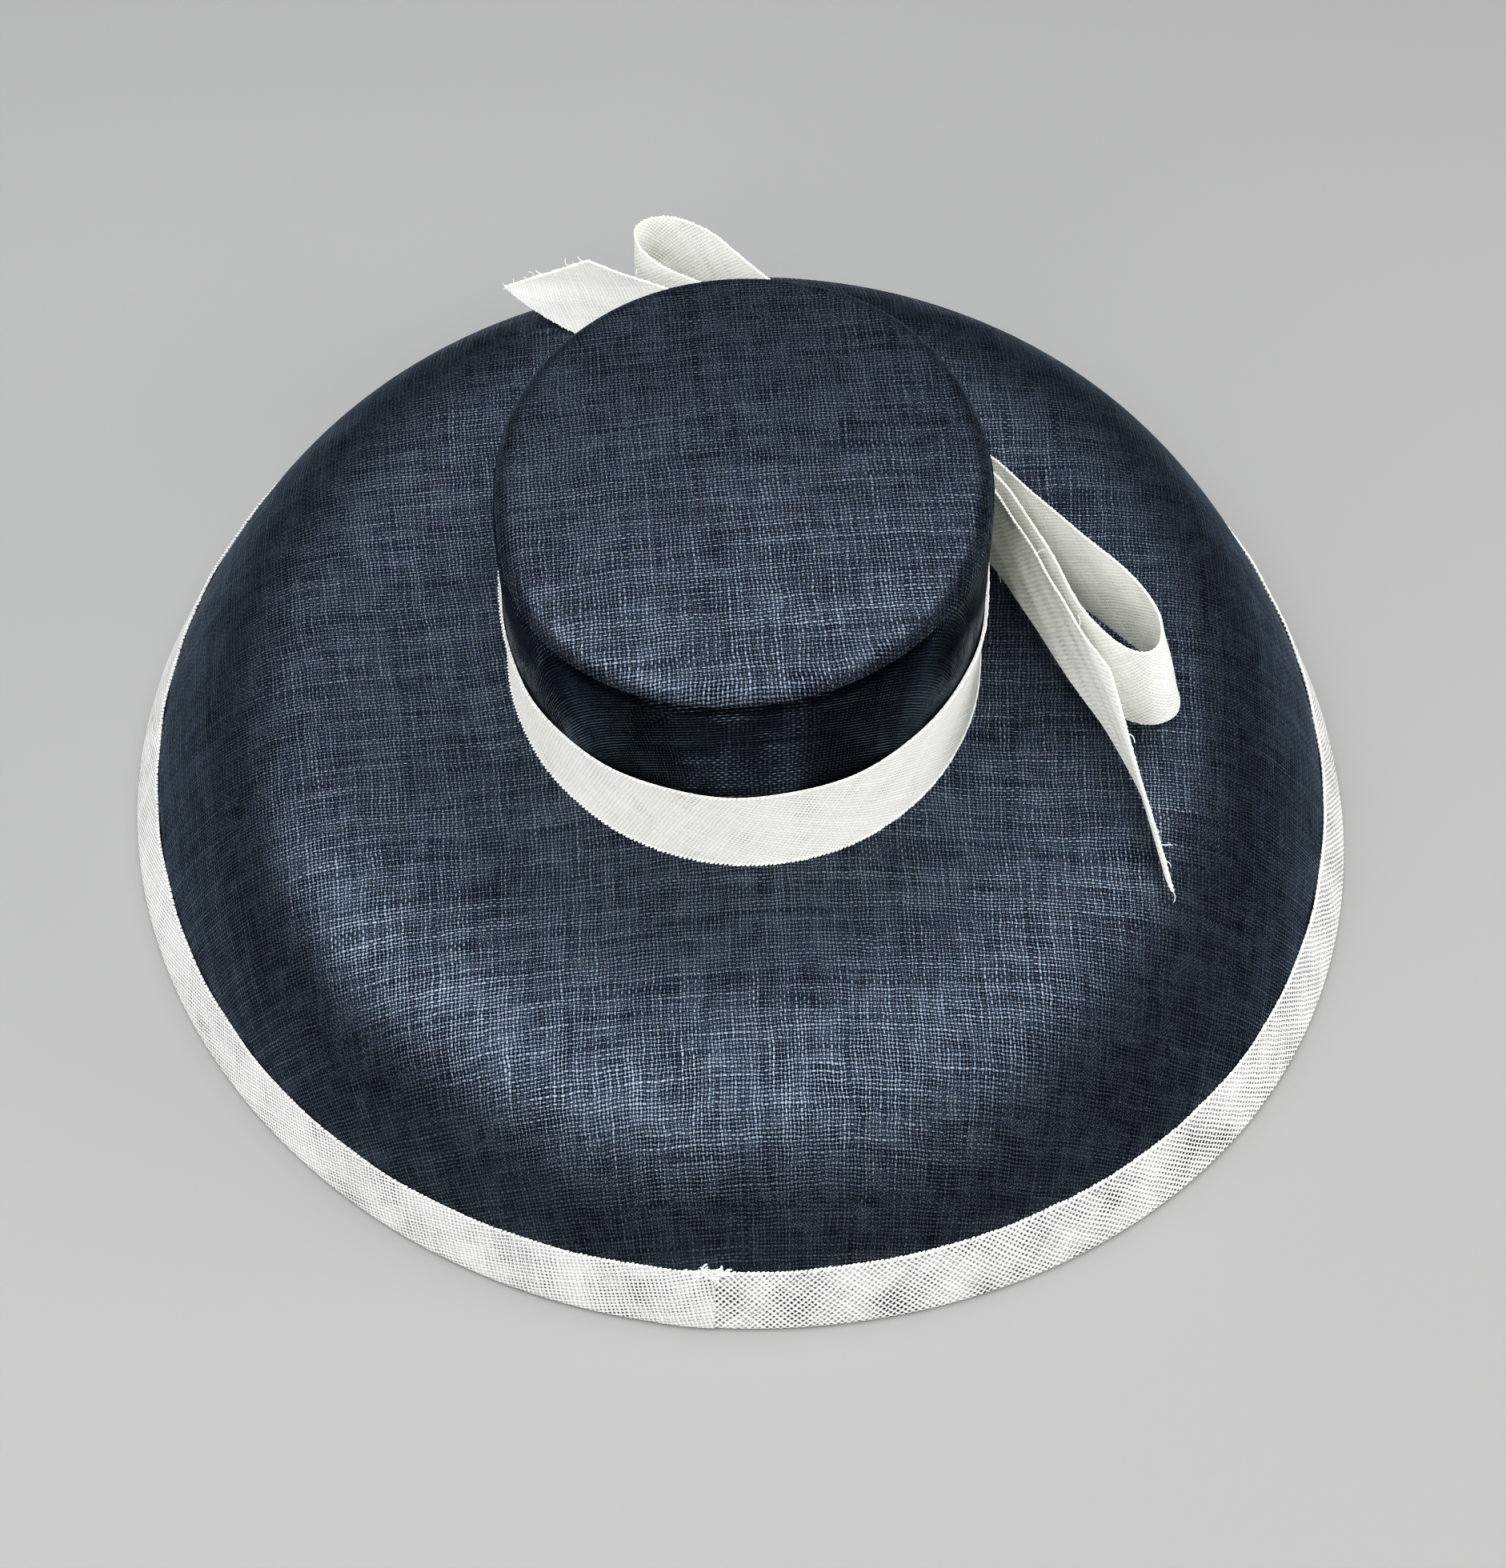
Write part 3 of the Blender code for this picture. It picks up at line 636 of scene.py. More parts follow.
def newGeoTree(name, sizes):
    tree = bpy.data.node_groups.new(name, "GeometryNodeTree")
    tree.interface.new_socket("Geometry", in_out="INPUT", socket_type="NodeSocketGeometry")
    kinds = {float: "NodeSocketFloat", int: "NodeSocketInt", bpy.types.Material: "NodeSocketMaterial"}
    for label, value in sizes.items():
        kind = next(kinds[k] for k in kinds if isinstance(value, k))
        socket = tree.interface.new_socket(label, in_out="INPUT", socket_type=kind)
        if not isinstance(value, bpy.types.Material):
            socket.default_value = value
    tree.interface.new_socket("Geometry", in_out="OUTPUT", socket_type="NodeSocketGeometry")
    return tree, NodeDesk(tree)


def finishTree(piece, tree, values):
    # runs the tree once and keeps its result as a plain mesh
    change = piece.modifiers.new("trim", "NODES")
    change.node_group = tree
    for item in tree.interface.items_tree:
        if item.item_type == "SOCKET" and item.in_out == "INPUT" and item.name in values:
            change[item.identifier] = values[item.name]
    keepResult(piece)
    rideRoot(piece, "ivory_sinamay")


def alignTo(desk, label, axis, turned=None):
    named = desk.add("GeometryNodeInputNamedAttribute", {"Name": label}, data_type="FLOAT_VECTOR").outputs[0]
    inputs = {"Vector": named} if turned is None else {"Rotation": turned, "Vector": named}
    settings = {"axis": axis} if turned is None else {"axis": axis, "pivot_axis": "X"}
    return desk.add("FunctionNodeAlignRotationToVector", inputs, **settings).outputs[0]


def randomBetween(desk, seed, low, high):
    return desk.add("FunctionNodeRandomValue", {"Seed": seed, 2: low, 3: high}, data_type="FLOAT").outputs[1]


def turnLocally(desk, rotation, angles):
    euler = desk.add("FunctionNodeEulerToRotation", {0: angles}).outputs[0]
    inputs = {"Rotation": rotation, "Rotate By": euler}
    return desk.add("FunctionNodeRotateRotation", inputs, rotation_space="LOCAL").outputs[0]


def putOnPoints(desk, given, item, rotation, size):
    dots = desk.add("GeometryNodeMeshToPoints", {"Mesh": given["Geometry"]}).outputs[0]
    placed = desk.add("GeometryNodeInstanceOnPoints",
                      {"Points": dots, "Instance": item, "Rotation": rotation, "Scale": size}).outputs[0]
    real = desk.add("GeometryNodeRealizeInstances", {0: placed}).outputs[0]
    done = desk.add("GeometryNodeSetMaterial", {"Geometry": real, "Material": given["Thread"]}).outputs[0]
    desk.put(desk.add("NodeGroupOutput").inputs[0], done)


def makeRopeTree():
    # a short slanted thread on every point, turned to the edge's run and facing
    sizes = {"Length": trim["threadLength"], "Thickness": trim["threadThick"], "Slant": trim["slant"],
             "Unevenness": trim["uneven"], "Seed": 3, "Thread": ivoryThread}
    tree, desk = newGeoTree("rolledEdge", sizes)
    given = desk.add("NodeGroupInput").outputs
    ball = desk.add("GeometryNodeMeshUVSphere", {"Segments": 6, "Rings": 5, "Radius": 0.5})
    # stretch the little sphere into a grain of thread
    grain = desk.joinXyz(given["Thickness"], given["Thickness"], given["Length"])
    shaped = desk.add("GeometryNodeTransform", {"Geometry": ball.outputs[0], "Scale": grain})
    laid = desk.add("GeometryNodeTransform", {"Geometry": shaped.outputs[0], "Rotation": (0, math.pi / 2, 0)})
    aligned = alignTo(desk, "facing", "Z", alignTo(desk, "along", "X"))
    less = desk.math("MULTIPLY", given["Unevenness"], -1.0)
    turn = desk.math("ADD", given["Slant"], randomBetween(desk, given["Seed"], less, given["Unevenness"]))
    size = randomBetween(desk, desk.math("ADD", given["Seed"], 5.0),
                         desk.math("SUBTRACT", 1.0, given["Unevenness"]), desk.math("ADD", 1.0, given["Unevenness"]))
    putOnPoints(desk, given, laid.outputs[0], turnLocally(desk, aligned, desk.joinXyz(0.0, 0.0, turn)), size)
    return tree


def makeFrayTree():
    # loose fibres: a bent hair on every point
    sizes = {"Length": 0.004, "Thickness": trim["fibreThick"], "Seed": 11, "Thread": ivoryThread}
    tree, desk = newGeoTree("looseFibres", sizes)
    given = desk.add("NodeGroupInput").outputs
    hair = desk.add("GeometryNodeCurvePrimitiveBezierSegment", {"Resolution": 6, "Start": (0, 0, 0),
                    "Start Handle": (0.45, 0.0, 0.25), "End Handle": (0.75, 0.35, 0.35), "End": (0.9, 0.55, 0.05)})
    ring = desk.add("GeometryNodeCurvePrimitiveCircle", {"Resolution": 4})
    desk.put(ring.inputs["Radius"], desk.math("DIVIDE", given["Thickness"], given["Length"]))
    tube = desk.add("GeometryNodeCurveToMesh",
                    {"Curve": hair.outputs[0], "Profile Curve": ring.outputs[0], "Fill Caps": True})
    wild = desk.add("FunctionNodeRandomValue", {"Seed": given["Seed"], 0: (-3.1, -0.7, -0.9), 1: (3.1, 0.7, 0.9)},
                    data_type="FLOAT_VECTOR").outputs[0]
    size = randomBetween(desk, desk.math("ADD", given["Seed"], 5.0),
                         desk.math("MULTIPLY", given["Length"], 0.35), given["Length"])
    putOnPoints(desk, given, tube.outputs[0], turnLocally(desk, alignTo(desk, "facing", "X"), wild), size)
    return tree


ropeTree = makeRopeTree()
frayTree = makeFrayTree()


def spacedPath(path, spacing):
    # path is a list of (point, facing); returns evenly spaced (point, along, facing)
    lengths = [0.0]
    for one, two in zip(path, path[1:]):
        lengths.append(lengths[-1] + (two[0] - one[0]).length)
    count = max(2, round(lengths[-1] / spacing))
    found, index = [], 0
    for step in range(count):
        wanted = lengths[-1] * (step + 0.5) / count
        while lengths[index + 1] < wanted:
            index += 1
        share = (wanted - lengths[index]) / (lengths[index + 1] - lengths[index])
        one, two = path[index], path[index + 1]
        along, facing = (two[0] - one[0]).normalized(), one[1].lerp(two[1], share).normalized()
        found.append((one[0].lerp(two[0], share), along, facing))
    return found


def pointCloud(name, spots):
    mesh = bpy.data.meshes.new(name)
    mesh.from_pydata([spot[0] for spot in spots], [], [])
    for label, column in (("along", 1), ("facing", 2)):
        layer = mesh.attributes.new(label, "FLOAT_VECTOR", "POINT")
        layer.data.foreach_set("vector", [value for spot in spots for value in spot[column]])
    return addPiece(name, mesh)


def rollEdges(name, paths, seed):
    spots = [spot for path in paths for spot in spacedPath(path, trim["spacing"])]
    finishTree(pointCloud(name, spots), ropeTree, {
        "Seed": seed, "Slant": trim["slant"], "Length": trim["threadLength"],
        "Thickness": trim["threadThick"], "Unevenness": trim["uneven"], "Thread": ivoryThread})


def looseFibres(name, spots, length, seed, thickness=trim["fibreThick"]):
    finishTree(pointCloud(name, spots), frayTree,
               {"Length": length, "Thickness": thickness, "Seed": seed, "Thread": ivoryThread})


def biasThreads(lengths, slants):
    # running thread counts along a strip whose weave slants by slants, in radians; returns a
    # function of (index, across) giving the place on the cloth along both thread directions
    a, b = [0.0], [0.0]
    for index in range(1, len(lengths)):
        step = lengths[index] - lengths[index - 1]
        slant = (slants[index] + slants[index - 1]) / 2
        a.append(a[-1] + step * math.sin(slant))
        b.append(b[-1] + step * math.cos(slant))

    def at(index, across):
        return (a[index] + across * math.cos(slants[index]), b[index] - across * math.sin(slants[index]))

    return at


def neighbourRun(columns, index, row):
    return (columns[min(index + 1, len(columns) - 1)][row] - columns[max(index - 1, 0)][row]).normalized()


binding = {
    "width": 0.023, "wall": 0.0006, "around": 420, "topRows": 12, "rollRows": 10, "underRows": 5,
    "proud": 0.0008,            # height of its upper edge above the brim
    "waviness": 0.00025,        # of that upper edge
    "underShare": 0.9,          # how much of the width shows below
    "underGap": 0.0003,
    "foldLoss": 0.004,          # cloth taken up by the fold
    "seamBearing": math.radians(263.6), "overlap": math.radians(2.6),
    "lapRise": 0.0004, "lapStarts": math.radians(5.5), "lapFull": math.radians(3.2),
    "slantStart": math.radians(45.0), "slantEnd": math.radians(14.0), "slantFrom": 0.55,
    "closeFrom": 0.5,           # share of the way round where the threads lie closer
}
# cut thread ends that stand up where the strip is lapped, spread in steps of its columns
tuft = {
    "count": 84, "before": 2.6, "spread": 3.6, "wrap": 3.2, "stagger": 0.618, "leanStagger": 0.377,
    "depth": 0.0006, "length": 0.0044, "thickness": 0.00036,
}


def bindingColumn(bearing, left):
    # one section from its upper edge over the fold and back under the brim; left is the
    # angle left to the lapped end
    byLength, total = brimMeasure(bearing, fine=90)
    lap = binding["lapRise"] * smoothStep(binding["lapStarts"], binding["lapFull"], left)
    top = hat["rimHeight"] - hat["cloth"] / 2
    column = []
    for row in range(binding["topRows"] + 1):
        down = row / binding["topRows"]
        point, normal = byLength(total - binding["width"] * (1 - down))
        uneven = ripple((bearing * 23, 1.0), (bearing * 41, 3.3)) * binding["waviness"] * (1 - down)
        column.append(point + normal * (binding["proud"] + (top - binding["proud"]) * down + lap + uneven))
    rim, normal = byLength(total)
    hub = rim - normal * hat["cloth"] / 2
    side = Vector((normal.x, normal.y, 0)).normalized()
    topAngle = math.atan2(normal.z, math.hypot(normal.x, normal.y))
    for row in range(1, binding["rollRows"] + 1):
        angle = topAngle - math.pi * row / (binding["rollRows"] + 1)
        spoke = hat["rimHeight"] + (lap if angle > -0.3 else 0.0)
        column.append(hub + (side * math.cos(angle) + Vector((0, 0, math.sin(angle)))) * spoke)
    under = -(hat["cloth"] + hat["reach"] - binding["underGap"])
    for row in range(binding["underRows"] + 1):
        point, normal = byLength(total - binding["width"] * binding["underShare"] * row / binding["underRows"])
        column.append(point + normal * under)
    return column, byLength(total - binding["width"])[1]


def makeBinding():
    start = binding["seamBearing"] - binding["overlap"]
    turn = math.tau + binding["overlap"]
    slantChange = binding["slantEnd"] - binding["slantStart"]
    columns, lengths, slants, normals = [], [0.0], [], []
    for step in range(binding["around"] + 1):
        share = step / binding["around"]
        column, normal = bindingColumn(start + turn * share, (1 - share) * turn)
        if columns:
            lengths.append(lengths[-1] + (column[0] - columns[-1][0]).length)
        columns.append(column)
        normals.append(normal)
        slants.append(binding["slantStart"] + slantChange * smoothStep(binding["slantFrom"], 1.0, share))
    thread = biasThreads(lengths, slants)
    uvColumns = []
    for index, column in enumerate(columns):
        across, uvs = 0.0, [thread(index, 0.0)]
        for one, two in zip(column, column[1:]):
            across += (two - one).length
            uvs.append(thread(index, across))
        uvColumns.append(uvs)
    piece = sheetMesh("brimBinding", rowsOf(columns, True), rowsOf(uvColumns, True), material=bindingCloth)
    piece.data.materials.append(bindingClose)
    for face in piece.data.polygons:
        face.material_index = int(face.index % binding["around"] > binding["around"] * binding["closeFrom"])
    thicken(piece, binding["wall"])
    rideRoot(piece, "ivory_sinamay", "brim_binding")
    edge = [(column[0] + normal * 0.00005, normal) for column, normal in zip(columns, normals)]
    rollEdges("bindingEdge", [edge], seed=21)
    makeTuft(columns, normals)


def makeTuft(columns, normals):
    count = len(columns)
    spots = []
    for step in range(tuft["count"]):
        place = count - tuft["before"] + tuft["spread"] * ((step * tuft["stagger"]) % 1.0)
        if place > count - 1:
            place += tuft["wrap"] - count
        index = int(place)
        point = columns[index][0].lerp(columns[min(index + 1, count - 1)][0], place - index)
        inward = (columns[index][0] - columns[index][3]).normalized()
        point = point - inward * tuft["depth"] * (step % 3)
        lean = 0.3 + 0.5 * ((step * tuft["leanStagger"]) % 1.0)
        spots.append((point, inward, (inward * 0.8 + normals[index] * lean).normalized()))
    looseFibres("bindingFray", spots, tuft["length"], 8, tuft["thickness"])


makeBinding()
print("binding made")

band = {
    "height": 0.040, "wall": 0.0007, "around": 300, "rows": 16,
    "slant": math.radians(38.0), "slantSway": math.radians(14.0),
    "dent": 0.0004, "uneven": 0.00035, "edgeWave": 0.0005, "edgeProud": 0.0001,
}
bow = {
    "bearing": math.radians(47.0), "lift": 0.0065, "width": 0.042, "wall": 0.0008,
    "knotHeight": 0.030, "knotLength": 0.020, "knotCloth": 0.0012,
    "sweepRight": math.radians(5.0), "sweepLeft": math.radians(2.0),
    "loopLength": 0.148, "loopWidth": 0.028,
    "tailRight": 0.204, "tailLeft": 0.191, "tailPeel": 0.056, "cutRight": 0.061, "cutLeft": 0.050,
    "steps": 150, "rows": 14, "slant": math.radians(45.0), "slantSway": math.radians(4.0),
    "pinchReach": 0.05,         # how far from the knot the ribbon is drawn in
    "fold": 0.0003, "soft": 0.00018, "fibreLength": 0.0042,
}


def makeBand():
    columns, lengths, slants = [], [0.0], []
    for step in range(band["around"] + 1):
        bearing = bow["bearing"] - math.tau * (1 - step / band["around"])
        column = []
        for row in range(band["rows"] + 1):
            up = row / band["rows"]
            height = band["height"] * up
            outset = crownOutset(bearing, height / crown["wallHeight"]) + hat["reach"]
            # the cloth stands off a little at its edges and dents between
            outset -= band["dent"] * math.sin(math.pi * up)
            outset += band["uneven"] * ripple((bearing * 9, 0.2), (bearing * 15, 2.0)) * (up * 0.7 + 0.3)
            outset -= band["uneven"]
            edge = ripple((bearing * 6, 1.2), (bearing * 11, 4.4)) * band["edgeWave"]
            point = headPoint(outset, bearing, hat["seat"] + height + edge * up)
            column.append(crownTilt(point, height / crown["height"]))
        if columns:
            lengths.append(lengths[-1] + (column[0] - columns[-1][0]).length)
        columns.append(column)
        slants.append(band["slant"] + band["slantSway"] * math.sin(bearing + 0.6))
    thread = biasThreads(lengths, slants)
    uvColumns = [[thread(index, band["height"] * row / band["rows"]) for row in range(band["rows"] + 1)]
                 for index in range(len(columns))]
    piece = sheetMesh("hatBand", rowsOf(columns), rowsOf(uvColumns), material=ribbonCloth)
    thicken(piece, band["wall"])
    rideRoot(piece, "ivory_sinamay", "hat_band")
    edges = []
    for row in (0, band["rows"]):
        path = []
        for index, column in enumerate(columns):
            run = neighbourRun(columns, index, row)
            facing = Vector((run.y, -run.x, 0)).normalized()
            path.append((column[row] + facing * band["edgeProud"], facing))
        edges.append(path)
    rollEdges("bandEdges", edges, seed=31)


makeBand()
print("band made")

# along and aside are shares of a loop's length and width, or of a tail's length and peel;
# lean, splay and sink are shares of the ribbon's width
rightLoop = namedRows("along aside lean splay", [
    (0, 0.05, 0, 0), (0.14, 0.08, 0, 0), (0.28, 0.12, 0, 0), (0.44, 0.09, -0.05, 0),
    (0.59, 0.12, -0.1, 0), (0.74, 0.15, -0.14, 0.03), (0.86, 0.12, -0.18, 0.1),
    (0.95, -0.02, -0.2, 0.18), (1, -0.29, -0.22, 0.15), (1, -0.55, -0.16, 0.1),
    (0.97, -0.72, -0.12, 0.04), (0.91, -0.82, -0.1, 0), (0.82, -0.8, -0.08, 0),
    (0.73, -0.68, -0.06, 0), (0.61, -0.45, -0.04, 0), (0.45, -0.2, -0.02, 0),
    (0.32, -0.07, 0, 0), (0.19, -0.01, 0, 0), (0.08, 0, 0, 0), (0, 0, 0, 0),
])
leftLoop = namedRows("along aside lean splay", [
    (0, 0.05, 0, 0), (0.14, 0.11, 0, 0), (0.3, 0.23, 0, 0), (0.47, 0.36, 0, 0),
    (0.59, 0.43, 0, 0), (0.7, 0.51, 0, 0), (0.8, 0.55, 0, 0.01), (0.9, 0.45, 0, 0.02),
    (0.95, 0.23, 0, 0.03), (0.96, -0.02, 0, 0.03), (0.94, -0.2, 0, 0.02), (0.88, -0.37, 0, 0.01),
    (0.79, -0.4, 0, 0), (0.71, -0.33, 0, 0), (0.59, -0.19, 0, 0), (0.45, -0.07, 0, 0),
    (0.3, -0.02, 0, 0), (0.14, 0, 0, 0), (0, 0, 0, 0),
])
rightTail = namedRows("aside lean sink", [
    (-0.024, 0, 0), (-0.034, 0, 0), (-0.072, -0.02, 0), (-0.15, -0.07, 0), (-0.25, -0.09, 0),
    (-0.37, -0.11, 0), (-0.48, -0.15, 0), (-0.58, -0.15, -0.01), (-0.69, -0.1, -0.01),
    (-0.85, -0.05, 0.01), (-1.04, 0, 0.07),
])
leftTail = namedRows("aside lean sink", [
    (-0.024, 0, 0), (-0.03, 0, 0), (-0.06, 0, 0), (-0.12, 0, 0), (-0.2, 0, 0), (-0.29, 0, 0),
    (-0.39, 0, 0), (-0.49, 0, 0), (-0.57, 0, 0), (-0.6, 0, 0), (-0.57, 0, 0.02),
])
bow["halfRoom"] = 1.5 * hat["ribbonCloth"] + 2 * hat["gap"]


def knotFrame():
    bulge = (bow["knotLength"] / 2) ** 2 / (2 * hat["headHalfWidth"])
    bandOutset = crownOutset(bow["bearing"], band["height"] / crown["wallHeight"]) + hat["reach"]
    outset = bandOutset + bulge + 2 * hat["gap"] + bow["knotCloth"] + bow["halfRoom"]
    middle = headPoint(outset, bow["bearing"], hat["brimLine"] + bow["lift"] + bow["width"] / 2)
    right = (headPoint(outset, bow["bearing"] - 0.01, 0) - headPoint(outset, bow["bearing"] + 0.01, 0)).normalized()
    return middle, Vector((-right.y, right.x, 0)), right


knotMiddle, knotOut, knotRight = knotFrame()


def pinch(distance):
    held = bow["knotHeight"] / bow["width"]
    return held + (1 - held) * smoothStep(0.0, 1.0, (distance - bow["knotLength"] / 2) / bow["pinchReach"])


def armAxes(side):
    sweep = bow["sweepRight"] if side > 0 else bow["sweepLeft"]
    along = knotRight * side * math.cos(sweep) - knotOut * math.sin(sweep)
    aside = knotOut * math.cos(sweep) + knotRight * side * math.sin(sweep)
    return along, aside


def placeOnArm(side, distance, asideDistance):
    along, aside = armAxes(side)
    hinge = bow["knotLength"] / 2
    if distance <= hinge:
        return knotMiddle + knotRight * side * distance + knotOut * asideDistance
    blend = min((distance - hinge) / hinge, 1.0)
    across = knotOut.lerp(aside, blend).normalized()
    return knotMiddle + knotRight * side * hinge + along * (distance - hinge) + across * asideDistance


def ribbonPiece(name, spines, node, flatWidth, seed):
    # spines are (bottom, top, distance from knot); the cloth bellies and is gathered near the knot
    count = len(spines)
    columns, lengths = [], [0.0]
    for index, (bottom, top, distance) in enumerate(spines):
        ahead = spines[min(index + 1, count - 1)]
        back = spines[max(index - 1, 0)]
        run = ((ahead[0] + ahead[1]) - (back[0] + back[1])).normalized()
        up = (top - bottom).normalized()
        facing = run.cross(up).normalized()
        fold = bow["fold"] * smoothStep(0.006, 0.02, distance) * smoothStep(0.085, 0.03, distance)
        column = []
        for row in range(bow["rows"] + 1):
            share = row / bow["rows"]
            wave = math.sin(share * math.tau * 2.5 + seed + distance * 25) * fold
            soft = bow["soft"] * math.sin(share * 9 + distance * 160 + seed * 2)
            column.append(bottom.lerp(top, share) + facing * (wave + soft))
        if columns:
            last = spines[index - 1]
            lengths.append(lengths[-1] + ((bottom + top) / 2 - (last[0] + last[1]) / 2).length)
        columns.append(column)
    thread = biasThreads(lengths, [bow["slant"] + bow["slantSway"] * math.sin(seed)] * count)
    uvColumns = [[thread(index, flatWidth * row / bow["rows"] * pinchShare(column, flatWidth))
                  for row in range(bow["rows"] + 1)] for index, column in enumerate(columns)]
    piece = sheetMesh(name, rowsOf(columns), rowsOf(uvColumns), material=ribbonCloth)
    thicken(piece, bow["wall"], 0.0)
    rideRoot(piece, "ivory_sinamay", node)
    return columns


def pinchShare(column, flatWidth):
    return max((column[-1] - column[0]).length / flatWidth, 0.3)


def ribbonEdges(name, columns, seed, withEnd=False):
    paths = []
    for row in (0, bow["rows"]):
        path = []
        for index, column in enumerate(columns):
            up = (column[-1] - column[0]).normalized()
            path.append((column[row], neighbourRun(columns, index, row).cross(up).normalized()))
        paths.append(path)
    if withEnd:
        last = columns[-1]
        run = (columns[-1][0] - columns[-2][0]).normalized()
        facing = run.cross((last[-1] - last[0]).normalized()).normalized()
        paths.append([(point, facing) for point in last])
    rollEdges(name, paths, seed)


def makeLoop(name, node, side, rows, seed):
    along, aside = armAxes(side)
    halfWidth = bow["width"] / 2
    spines = []
    for step in range(bow["steps"] + 1):
        place = step / bow["steps"]
        distance = 2 * hat["gap"] + alongRows(rows, "along", place) * bow["loopLength"]
        middle = placeOnArm(side, distance, alongRows(rows, "aside", place) * bow["loopWidth"])
        half = Vector((0, 0, halfWidth * pinch(distance)))
        half += aside * alongRows(rows, "lean", place) * halfWidth
        half -= along * alongRows(rows, "splay", place) * halfWidth
        spines.append((middle - half, middle + half, distance))
    columns = ribbonPiece(name, spines, node, bow["width"], seed)
    ribbonEdges(name + "Edges", columns, int(seed * 10))


def makeTail(name, node, side, rows, length, cut, seed):
    aside = armAxes(side)[1]
    halfWidth = bow["width"] / 2
    spines = []
    for step in range(bow["steps"] + 1):
        ends = []
        for edge, reach in ((-1, length), (1, length - cut)):
            place = step / bow["steps"] * reach / length
            distance = 2 * hat["gap"] + place * length
            middle = placeOnArm(side, distance, alongRows(rows, "aside", place) * bow["tailPeel"])
            half = Vector((0, 0, halfWidth * pinch(distance)))
            half += aside * alongRows(rows, "lean", place) * halfWidth
            ends.append(middle + half * edge - Vector((0, 0, alongRows(rows, "sink", place) * bow["width"])))
        spines.append((ends[0], ends[1], step / bow["steps"] * length))
    columns = ribbonPiece(name, spines, node, bow["width"], seed)
    ribbonEdges(name + "Edges", columns, int(seed * 10), withEnd=True)
    # fibres stand out at the cut end and here and there along the edges
    last = columns[-1]
    run = (columns[-1][0] - columns[-3][0]).normalized()
    spots = [(last[min(step, len(last) - 1)], run, (run + Vector((0, 0, 0.3))).normalized()) for step in range(14)]
    for step in range(10):
        column = columns[20 + step * 12]
        down = (column[0] - column[-1]).normalized()
        spots.append((column[0] if step % 3 else column[-1], down, down if step % 3 else -down))
    looseFibres(name + "Fibres", spots, bow["fibreLength"], int(seed * 10))


knot = {
    "around": 96, "across": 20, "wall": 0.0008, "squareness": 0.45,
    "fold": 0.0011, "folds": 5, "belly": 0.0016,
    "flatShare": 1.3, "flatLength": 0.080,      # cut wider than it shows, because it is gathered
}


def makeKnot():
    # the strip wrapped round the bow's middle, gathered into upright folds
    side = bow["halfRoom"] + bow["knotCloth"]
    height = bow["knotHeight"] / 2 + hat["gap"] + bow["knotCloth"]
    around = knot["around"]
    columns, uvColumns = [], []
    for step in range(knot["across"] + 1):
        share = step / knot["across"]
        shift = knotRight * bow["knotLength"] * (0.5 - share)
        column, uvs, run = [], [], 0.0
        for index in range(around):
            angle = math.tau * index / around
            c, s = math.cos(angle), math.sin(angle)
            x = math.copysign(abs(c) ** knot["squareness"], c) * side
            z = math.copysign(abs(s) ** knot["squareness"], s) * height
            fold = knot["fold"] * math.sin(share * math.pi * knot["folds"] + 0.5 * math.sin(angle * 2)) * max(c, 0.0)
            belly = knot["belly"] * math.sin(math.pi * share) * max(c, 0.0)
            column.append(knotMiddle + shift + knotOut * (x + fold + belly) + Vector((0, 0, z)))
        diagonal = math.sqrt(0.5)
        for index in range(around):
            if index:
                run += (column[index] - column[index - 1]).length
            uvs.append((diagonal * (run + share * bow["knotLength"]), diagonal * (run - share * bow["knotLength"])))
        columns.append(column)
        uvColumns.append(uvs)
    piece = sheetMesh("bowKnot", columns, uvColumns, closed=True, material=ribbonCloth)
    thicken(piece, knot["wall"])
    rideRoot(piece, "ivory_sinamay", "bow_knot")
    edges = []
    for column in (columns[0], columns[-1]):
        path = []
        for index in range(around + 1):
            ahead, back = column[(index + 1) % around], column[(index - 1) % around]
            path.append((column[index % around], (ahead - back).normalized().cross(knotRight).normalized()))
        edges.append(path)
    rollEdges("knotEdges", edges, seed=77)


makeKnot()
makeLoop("bowLoopRight", "bow_loop_right", 1, rightLoop, 1.3)
makeLoop("bowLoopLeft", "bow_loop_left", -1, leftLoop, 2.6)
makeTail("bowTailRight", "bow_tail_right", 1, rightTail, bow["tailRight"], bow["cutRight"], 0.8)
makeTail("bowTailLeft", "bow_tail_left", -1, leftTail, bow["tailLeft"], bow["cutLeft"], 3.1)
print("bow made")

studio = {
    "floorColor": (0.165, 0.166, 0.163), "floorRough": 0.85, "floorHalf": 4.0,
    "worldColor": (0.95, 0.97, 1.0), "worldStrength": 0.15, "gamma": 0.86, "whiteLevel": 1.6,
    "fillOnly": ("frontLeft", "sideLeft", "sideRight", "wash"),     # these don't show in the gloss of the cloth
    "rollOff": [(0.10, 0.10), (0.30, 0.30), (0.50, 0.48), (0.70, 0.62), (0.90, 0.73), (1.20, 0.85)],
    "target": (0.0018, -0.0668, 0.067), "distance": 0.900,
    "elevation": math.radians(53.6), "swing": math.radians(-4.5), "roll": math.radians(-0.7),
    "focalPixels": 3140.0, "imageHeight": 1960.0, "sensorWidth": 36.0,
}
atHat = (0.0, 0.0, 0.08)
warm = (1.0, 0.99, 0.97)
